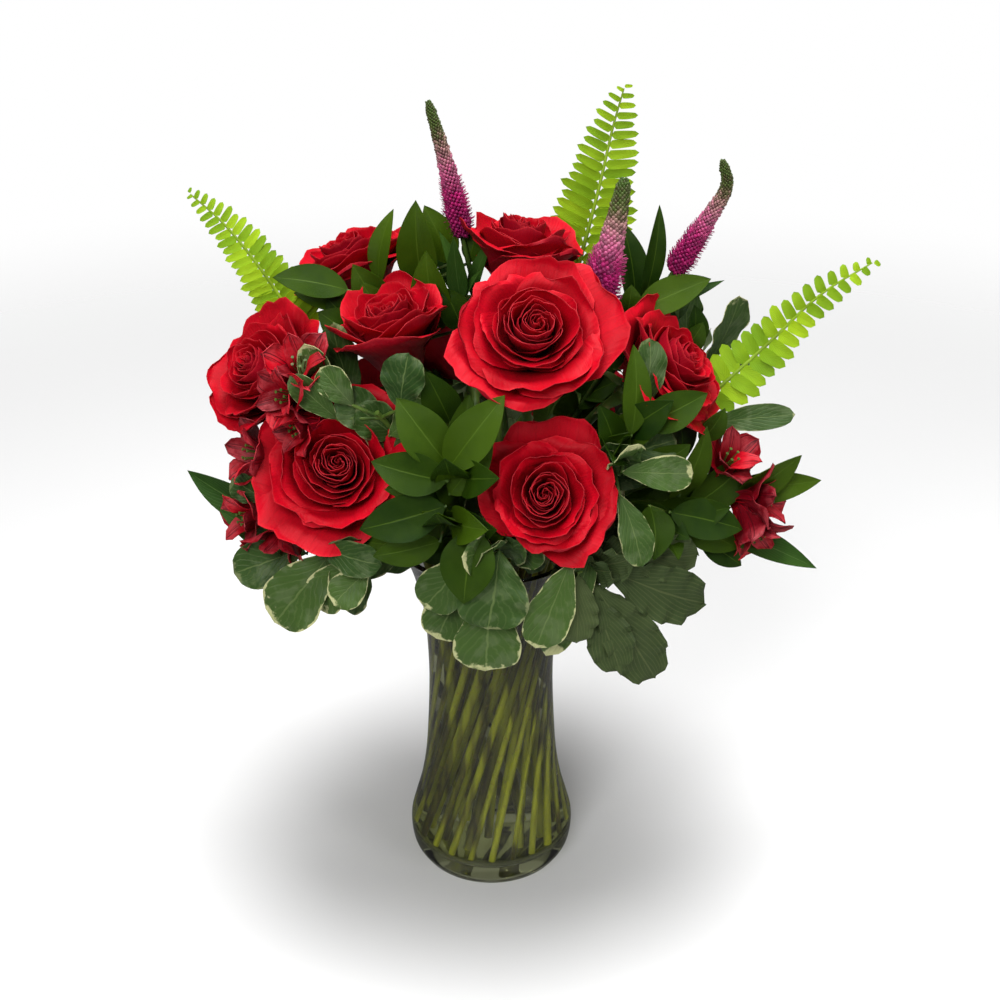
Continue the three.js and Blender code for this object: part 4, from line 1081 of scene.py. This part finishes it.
# name: ring, place, end of the stem, leaves as (foot, tip, width)
RUSCUSES = {
    "front_centre": ("inner", 0, (-20, -84, 306), [
        ((-21, -91, 303), (-59, -89, 313), 22), ((-21, -89, 308), (8, -84, 347), 23),
        ((-21, -86, 310), (-46, -78, 343), 24), ((-20, -88, 294), (2, -82, 318), 18),
        ((-14, -70, 300), (-10, -66, 340), 18), ((-20, -62, 322), (-32, -68, 353), 20)]),
    "front_left": ("outer", 20, (-24, -88, 282), [
        ((-22, -93, 290), (-66, -94, 277), 24), ((-8, -96, 279), (-13, -109, 242), 28),
        ((-25, -92, 269), (-60, -93, 261), 17), ((-34, -84, 262), (-72, -70, 258), 18)]),
    "top_right": ("inner", 2, (74, -58, 320), [
        ((73, -64, 316), (73, -54, 362), 16), ((78, -60, 319), (112, -56, 336), 20),
        ((66, -56, 300), (56, -62, 332), 18), ((80, -50, 289), (105, -56, 307), 18)]),
    "top_back": ("inner", 5, (80, 26, 346), [
        ((80, 6, 358), (119, 6, 376), 20), ((84, 16, 360), (91, 22, 412), 12),
        ((80, 20, 352), (72, 38, 398), 20), ((88, 18, 346), (112, 34, 362), 18)]),
    "right": ("outer", 4, (100, -48, 262), [
        ((106, -44, 262), (143, -26, 286), 24), ((96, -58, 268), (136, -55, 256), 22),
        ((134, -30, 261), (168, -36, 291), 20), ((132, -22, 262), (182, -28, 272), 18),
        ((97, -42, 264), (114, -48, 314), 19), ((104, -30, 284), (96, -34, 326), 20),
        ((84, -66, 276), (86, -82, 252), 22)]),
    "top_left": ("inner", 8, (-60, 10, 366), [
        ((-76, 4, 370), (-116, 2, 378), 20), ((-74, 6, 360), (-106, 6, 368), 15),
        ((-60, 12, 371), (-51, 14, 412), 14), ((-36, 16, 364), (-39, 10, 418), 23),
        ((-28, 12, 344), (-34, 6, 392), 22)]),
    "back_left": ("outer", 12, (-38, 96, 300), [
        ((-38, 94, 300), (-44, 92, 344), 22), ((-34, 92, 290), (-72, 104, 326), 22),
        ((-38, 98, 284), (-50, 128, 268), 22), ((-34, 94, 274), (-14, 126, 262), 20)]),
}
PITTOSPORUMS = {
    "front_low": ("outer", 0, (2, -90, 264), [
        ((5, -97, 266), (-1, -108, 226), 37), ((0, -96, 240), (-2, -101, 196), 36),
        ((-10, -88, 258), (-34, -96, 232), 26), ((-14, -84, 246), (-28, -92, 210), 26)]),
    "front_right": ("outer", 2, (70, -64, 308), [
        ((68, -74, 300), (106, -64, 294), 19), ((67, -76, 288), (79, -90, 253), 19),
        ((80, -54, 326), (82, -46, 362), 18), ((56, -74, 262), (30, -96, 202), 20),
        ((42, -92, 258), (24, -104, 212), 26)]),
    "right_low": ("outer", 3, (54, -78, 246), [
        ((54, -84, 240), (91, -76, 174), 32), ((52, -84, 234), (70, -90, 188), 26),
        ((60, -82, 248), (117, -62, 214), 32), ((64, -78, 256), (112, -58, 242), 26),
        ((46, -88, 248), (46, -96, 210), 22)]),
    "right_back": ("outer", 7, (106, 36, 304), [
        ((120, 0, 293), (167, -14, 305), 15), ((122, 32, 314), (138, 24, 360), 26),
        ((108, 30, 326), (106, 28, 364), 26), ((120, 26, 306), (152, 48, 306), 26),
        ((108, 34, 300), (128, 70, 322), 26)]),
    "back": ("outer", 10, (0, 96, 262), [
        ((0, 100, 258), (4, 124, 222), 34), ((-8, 98, 256), (-34, 122, 232), 30),
        ((6, 94, 250), (36, 108, 216), 30)]),
    "back_left": ("outer", 14, (-104, 50, 284), [
        ((-104, 52, 280), (-142, 50, 296), 28), ((-100, 50, 276), (-134, 74, 266), 26),
        ((-100, 44, 268), (-140, 40, 252), 26), ((-98, 56, 288), (-112, 84, 318), 24)]),
    "left_low": ("outer", 19, (-72, -62, 252), [
        ((-84, -70, 250), (-116, -76, 210), 34), ((-100, -58, 246), (-138, -64, 234), 26),
        ((-64, -78, 244), (-82, -90, 230), 20), ((-90, -76, 259), (-56, -86, 252), 20),
        ((-64, -60, 240), (-84, -52, 206), 26)]),
    "centre_left": ("inner", 12, (-58, -58, 326), [
        ((-45, -68, 332), (-40, -67, 362), 24), ((-70, -58, 330), (-86, -56, 350), 17),
        ((-78, -58, 322), (-101, -60, 347), 15), ((-52, -56, 312), (-30, -60, 330), 20),
        ((-76, -40, 312), (-95, -42, 358), 19), ((-70, -24, 318), (-82, -24, 362), 22)]),
}


# Leaves in turn to the left and the right up each stem: how many places, their length and width, and
# which of the places carry a leaf.
STEM_LEAVES = {"ruscus": (8, 38, 20), "pittosporum": (6, 32, 22)}
LEAFY_PLACES = {
    "ruscus": {"front_centre": (0, 2, 4, 6, 7), "front_left": (0, 2, 3, 4, 5, 6, 7),
               "top_right": (1, 3, 5, 6),
               "top_back": (0, 1, 2, 4), "right": range(8), "top_left": range(5), "back_left": (0, 2)},
    "pittosporum": {"front_low": range(5), "front_right": (0, 1, 3, 5), "right_low": range(6),
                    "right_back": range(6), "back": range(6), "back_left": (0, 1, 3, 5),
                    "left_low": (0, 2, 3, 4), "centre_left": range(4)},
}


INNER_LEAVES = {"ruscus": (9, 36, 20), "pittosporum": (7, 30, 22)}  # how many, their length and width

# Small leaves behind the flowers, too thin and too hidden to be solids of their own.
FILLING = {
    "ruscus_top_left": [
        ((-74, -4, 348), (-92, -4, 361), 18),
        ((-75, 2, 353), (-88, 2, 367), 16),
        ((-15, 4, 348), (-25, 4, 372), 18),
        ((-21, 18, 381), (-35, 18, 413), 19),
        ((-11, 22, 380), (-6, 22, 399), 12),
        ((-34, 14, 361), (-32, 14, 383), 14)],
    "ruscus_top_back": [
        ((72, 2, 351), (76, 2, 374), 18),
        ((110, 6, 334), (111, 6, 361), 18),
        ((106, 4, 336), (116, 4, 352), 14)],
    "ruscus_right": [
        ((101, -46, 257), (136, -46, 239), 20),
        ((115, -44, 243), (139, -44, 227), 15),
        ((113, -34, 299), (125, -34, 318), 15)],
    "pittosporum_left_low": [
        ((-73, -76, 249), (-92, -76, 219), 24),
        ((-119, -50, 271), (-137, -50, 284), 18)],
}


def leaf_up_stem(ring, place, end, share, hand, spread, length, width):
    """One leaf a share of the way up a stem; spread is how much it turns ahead, sideways and outward."""
    end = Vector(end) * MM
    bend = stem_bend(ring, place, end, (end - Vector((0, 0, VASE_HEIGHT)) * MM).normalized())
    root, next_on = bezier_at(*bend, share), bezier_at(*bend, share + 0.01)
    ahead = (next_on - root).normalized()
    out = Vector((root.x, root.y, 0)).normalized()
    side = ahead.cross(out).normalized() * hand
    way = (ahead * spread[0] + side * spread[1] + out * spread[2]).normalized()
    foot = root / MM + way * 6
    return foot, foot + way * length, width


def leaves_up_stem(kind, name, ring, place, end):
    count, length, width = STEM_LEAVES[kind]
    return [leaf_up_stem(ring, place, end, 0.22 + 0.7 * (k + 0.5) / count, 1 if k % 2 else -1,
                         (0.45, 0.75, 0.35), length, width) for k in LEAFY_PLACES[kind][name]]


def inner_leaves(kind, ring, place, end):
    """Shaded leaves close to the stem, which fill the heart of the bouquet."""
    count, length, width = INNER_LEAVES[kind]
    return [leaf_up_stem(ring, place, end, 0.35 + 0.6 * k / count, 1 if (k + place) % 2 else -1,
                         (0.9, 0.45 - 0.3 * (k % 3), 0.12), length, width) for k in range(count)]


def make_sprigs():
    kinds = (("ruscus", RUSCUSES, RUSCUS_LOOK), ("pittosporum", PITTOSPORUMS, PITTOSPORUM_LOOK))
    for kind, sprigs, look in kinds:
        for name, (ring, place, end, leaves) in sprigs.items():
            lower = leaves_up_stem(kind, name, ring, place, end) + inner_leaves(kind, ring, place, end)
            every_leaf = [*leaves, *lower, *FILLING.get(f"{kind}_{name}", [])]
            own_look = {**look, **SPECIAL_LOOKS.get(name, {}), "Seed": 100 + place * 3}
            make_sprig(f"{kind}_{name}_sprig", f"{kind}_{name}", f"{kind}_leaf", kind, ring, place, end,
                       every_leaf, own_look)


# ---- speedwell -----------------------------------------------------------------------------------

# name: ring, place, run of the spike, radius at its foot, leaves
SPEEDWELLS = {
    "left": ("core", 1, [(-15, 20, 396), (-23, 22, 434), (-32, 26, 466)], 9, [
        ((-14, 16, 362), (-27, 8, 402), 9), ((-10, 18, 362), (2, 10, 398), 9),
        ((-13, 18, 352), (-4, -2, 384), 8), ((-14, 22, 356), (-34, 30, 392), 9),
        ((-16, 8, 364), (-19, -2, 402), 11)]),
    "centre": ("core", 2, [(56, -10, 366), (64, -6, 401), (70, 0, 432)], 13, [
        ((54, -10, 340), (70, -22, 358), 8), ((52, -8, 336), (62, 14, 362), 9)]),
    "right": ("inner", 4, [(100, 14, 378), (116, 14, 406), (125, 14, 424), (122, 14, 438)], 9, [
        ((98, 14, 364), (106, 20, 396), 8), ((96, 14, 358), (128, 18, 371), 7),
        ((92, 12, 344), (86, 32, 374), 9)]),
}


def make_speedwells():
    for number, (name, (ring, place, run, foot, leaves)) in enumerate(SPEEDWELLS.items()):
        along = (Vector(run[1]) - Vector(run[0])).normalized()
        make_sprig(f"speedwell_{name}_stalk", f"speedwell_{name}_stem", "green_stem", "speedwell",
                   ring, place, run[0], leaves, {**SPEEDWELL_LOOK, "Seed": 300 + number}, along=along)
        path = smooth_path(run, 12)
        bones = Skeleton()
        bones.line(path, [foot * MM * 0.50 * (1 - 0.72 * k / len(path)) for k in range(len(path))])
        spike = new_object(f"speedwell_{name}_flowers", bones.mesh(f"speedwell_{name}_flowers"))
        grow(spike, SPIKE, {"Florets": 620, "Foot": foot * MM, "Seed": 31 + number,
                            "Flower Material": SPEEDWELL_FLOWER, "Stem Material": SPEEDWELL_CORE})
        keep(spike, "speedwell_flower", f"speedwell_{name}_spike")


# ---- ferns ---------------------------------------------------------------------------------------

# name: ring, place, run of the frond, the way its upper side faces, width, pitch, pinna width
FERNS = {
    "left": ("outer", 15, [(-104, 22, 338), (-124, 25, 372), (-144, 30, 398), (-162, 32, 415)],
             (0.3, -0.9, 0.35), 37, 4.6, 6.6),
    "top": ("inner", 7, [(50, 62, 362), (61, 66, 408), (68, 72, 440), (74, 76, 462)],
            (0.1, -0.9, 0.3), 57, 5.2, 7.4),
    "right": ("outer", 6, [(122, 4, 308), (152, 8, 337), (178, 5, 367), (203, 0, 387)],
              (-0.3, -0.85, 0.45), 36, 6.8, 8.8),
}


def make_ferns():
    for number, (name, (ring, place, run, upper, width, pitch, pinna)) in enumerate(FERNS.items()):
        path = smooth_path(run, 12)
        along = (path[1] - path[0]).normalized()
        route = stem_route(ring, place, path[0], along)
        bones = Skeleton()
        radii = [0.0014] * len(route)
        whole = route[:-1] + path
        radii = radii[:-1] + [0.0013 * (1 - 0.7 * k / len(path)) for k in range(len(path))]
        first = len(route) - 1
        bones.line(whole, radii)
        for k in range(first, len(whole)):
            bones.values["frond"][k] = 1.0
        frond = new_object(f"fern_{name}_frond", bones.mesh(f"fern_{name}_frond"))
        grow(frond, FROND, {"Pitch": pitch * MM, "Width": width * MM, "Pinna Width": pinna * MM,
                            "Forward": 0.28, "Upper": upper, "Base Power": 0.12, "Tip Power": 0.30,
                            "Arch": 0.05, "Fold": 0.1,
                            "Wave": 0.03, "Waves": 9.0, "Columns": 7, "Rows": 9, "Seed": 40 + number,
                            "Leaf Material": FERN_LEAF, "Stem Material": FERN_STEM})
        keep(frond, "fern_frond", f"fern_{name}")


# ---- Peruvian lilies -----------------------------------------------------------------------------

# name: ring, place, where the flower stalks part, florets as (middle of the mouth, the way it faces, width)
# and leaves as (foot, tip, width)
LILIES = {
    "left_top": ("inner", 11, (-90, -38, 316), [
        ((-98, -52, 355), (0, -0.6, 0.8), 30), ((-110, -62, 337), (-0.6, -0.7, 0.3), 28),
        ((-104, -66, 318), (-0.7, -0.7, 0), 24)], []),
    "left_low": ("outer", 18, (-108, -48, 270), [
        ((-134, -50, 300), (-0.85, -0.4, 0.3), 32), ((-138, -56, 262), (-0.75, -0.6, 0.1), 28),
        ((-117, -66, 243), (-0.3, -0.7, -0.6), 30)], [
        ((-118, -42, 256), (-166, -26, 277), 20), ((-100, -50, 238), (-148, -42, 262), 18)]),
    "right": ("outer", 5, (124, -36, 264), [
        ((132, -42, 297), (0.3, -0.5, 0.8), 30), ((158, -42, 268), (0.85, -0.4, 0.15), 32),
        ((149, -50, 242), (0.4, -0.6, -0.6), 30)], [((128, -32, 246), (182, -40, 223), 16)]),
    "back": ("outer", 9, (42, 96, 268), [
        ((40, 124, 262), (0, 0.8, -0.3), 28), ((58, 122, 246), (0.4, 0.8, -0.4), 28),
        ((30, 122, 244), (-0.3, 0.8, -0.5), 26)], [((36, 84, 250), (22, 112, 214), 12)]),
}


def add_floret(bones, umbel, mouth, faces, width, turn):
    """A pedicel, three broad outer petals, three narrow inner ones and the stamens."""
    umbel, mouth = Vector(umbel) * MM, Vector(mouth) * MM
    faces = Vector(faces).normalized()
    width = width * MM
    throat = mouth - faces * width * 1.1
    bones.line([umbel, umbel.lerp(throat, 0.5) + faces * 0.001, throat, throat + faces * 0.004],
               [0.0014, 0.0012, 0.0016, 0.0022])
    sideways = faces.orthogonal().normalized()
    for k in range(6):
        out = Matrix.Rotation(turn + pi * k / 3, 3, faces) @ sideways
        broad = k % 2 == 0
        spread = 0.62 if broad else 0.40
        length = width * (1.18 if broad else 1.22)
        run = (faces + out * spread).normalized() * length
        bones.add(throat + out * 0.0012, width=width * (0.66 if broad else 0.40), along=run,
                  up=faces * spread - out)
    for k in range(5):
        out = Matrix.Rotation(turn + 0.4 + 2 * pi * k / 5, 3, faces) @ sideways
        end = throat + faces * width * 0.95 + out * width * 0.12
        bones.line([throat, throat.lerp(end, 0.6) - out * 0.0006, end - faces * 0.0015, end],
                   [0.0003, 0.0003, 0.0003, 0.0009])


def make_lilies():
    for number, (name, (ring, place, umbel, florets, leaves)) in enumerate(LILIES.items()):
        along = (Vector(umbel) - Vector((0, 0, VASE_HEIGHT))).normalized()
        make_sprig(f"lily_{name}_stalk", f"lily_{name}_stem", "green_stem", "lily", ring, place,
                   tuple(Vector(umbel) - along * 2.0), leaves, {**SPEEDWELL_LOOK, "Seed": 400 + number},
                   along=along)
        bones = Skeleton()
        for k, floret in enumerate(florets):
            add_floret(bones, umbel, *floret, turn=k * 0.9 + number)
        piece = new_object(f"lily_{name}_flowers", bones.mesh(f"lily_{name}_flowers"))
        grow(piece, SPRIG, {"Base Power": 0.62, "Tip Power": 0.38, "Arch": 0.12, "Fold": 0.30, "Wave": 0.10,
                            "Waves": 14.0, "Columns": 9, "Rows": 15, "Seed": 50 + number, "Stem Sides": 6,
                            "Leaf Material": LILY_PETAL, "Stem Material": GREEN_STEM})
        keep(piece, "lily_petal", f"lily_{name}_florets")


# ---- floor ---------------------------------------------------------------------------------------


FLOOR_RADIUS, FLOOR_SIDES = 1.6, 64


def make_floor():
    """A pale disc that fades out, with a painted shadow near the vase and a painted darker reflection where
    the glass mirrors it.
    """
    mesh = bpy.data.meshes.new("floor")
    rim = [(FLOOR_RADIUS * cos(2 * pi * k / FLOOR_SIDES), FLOOR_RADIUS * sin(2 * pi * k / FLOOR_SIDES), 0)
           for k in range(FLOOR_SIDES)]
    mesh.from_pydata(rim, [], [tuple(range(FLOOR_SIDES))])
    floor = new_object("floor", mesh)
    tree, shader, material = new_material("floor", Roughness=0.7, Specular_IOR_Level=0.1)
    away = tree.place().length()
    grain = tree.noise(tree.place(), 3.0, 2.0)
    pale = mix(tree, grain, (0.90, 0.90, 0.90, 1), (0.93, 0.93, 0.93, 1))
    # Painted shadow: the floor's colour darkens within about 20 cm of the vase's foot.
    painted_shadow_near_foot = mix(tree, (1.0 - away.step(0.04, 0.20)) * 0.55, pale, (0.30, 0.30, 0.30, 1))
    # Painted reflection: rays mirrored off the glass see the floor nearly black.
    mirrored = tree.field("ShaderNodeLightPath", out="Is Glossy Ray")
    painted_dark_reflection = mix(tree, mirrored * 0.85, painted_shadow_near_foot, (0.05, 0.05, 0.05, 1))
    tree.join(painted_dark_reflection, shader.inputs["Base Color"])
    tree.join(1.0 - away.step(0.45, 1.5), shader.inputs["Alpha"])
    mesh.materials.append(material)


set_camera()
set_light()
make_floor()
make_vase()
make_water()
make_roses()
make_sprigs()
make_speedwells()
make_ferns()
make_lilies()
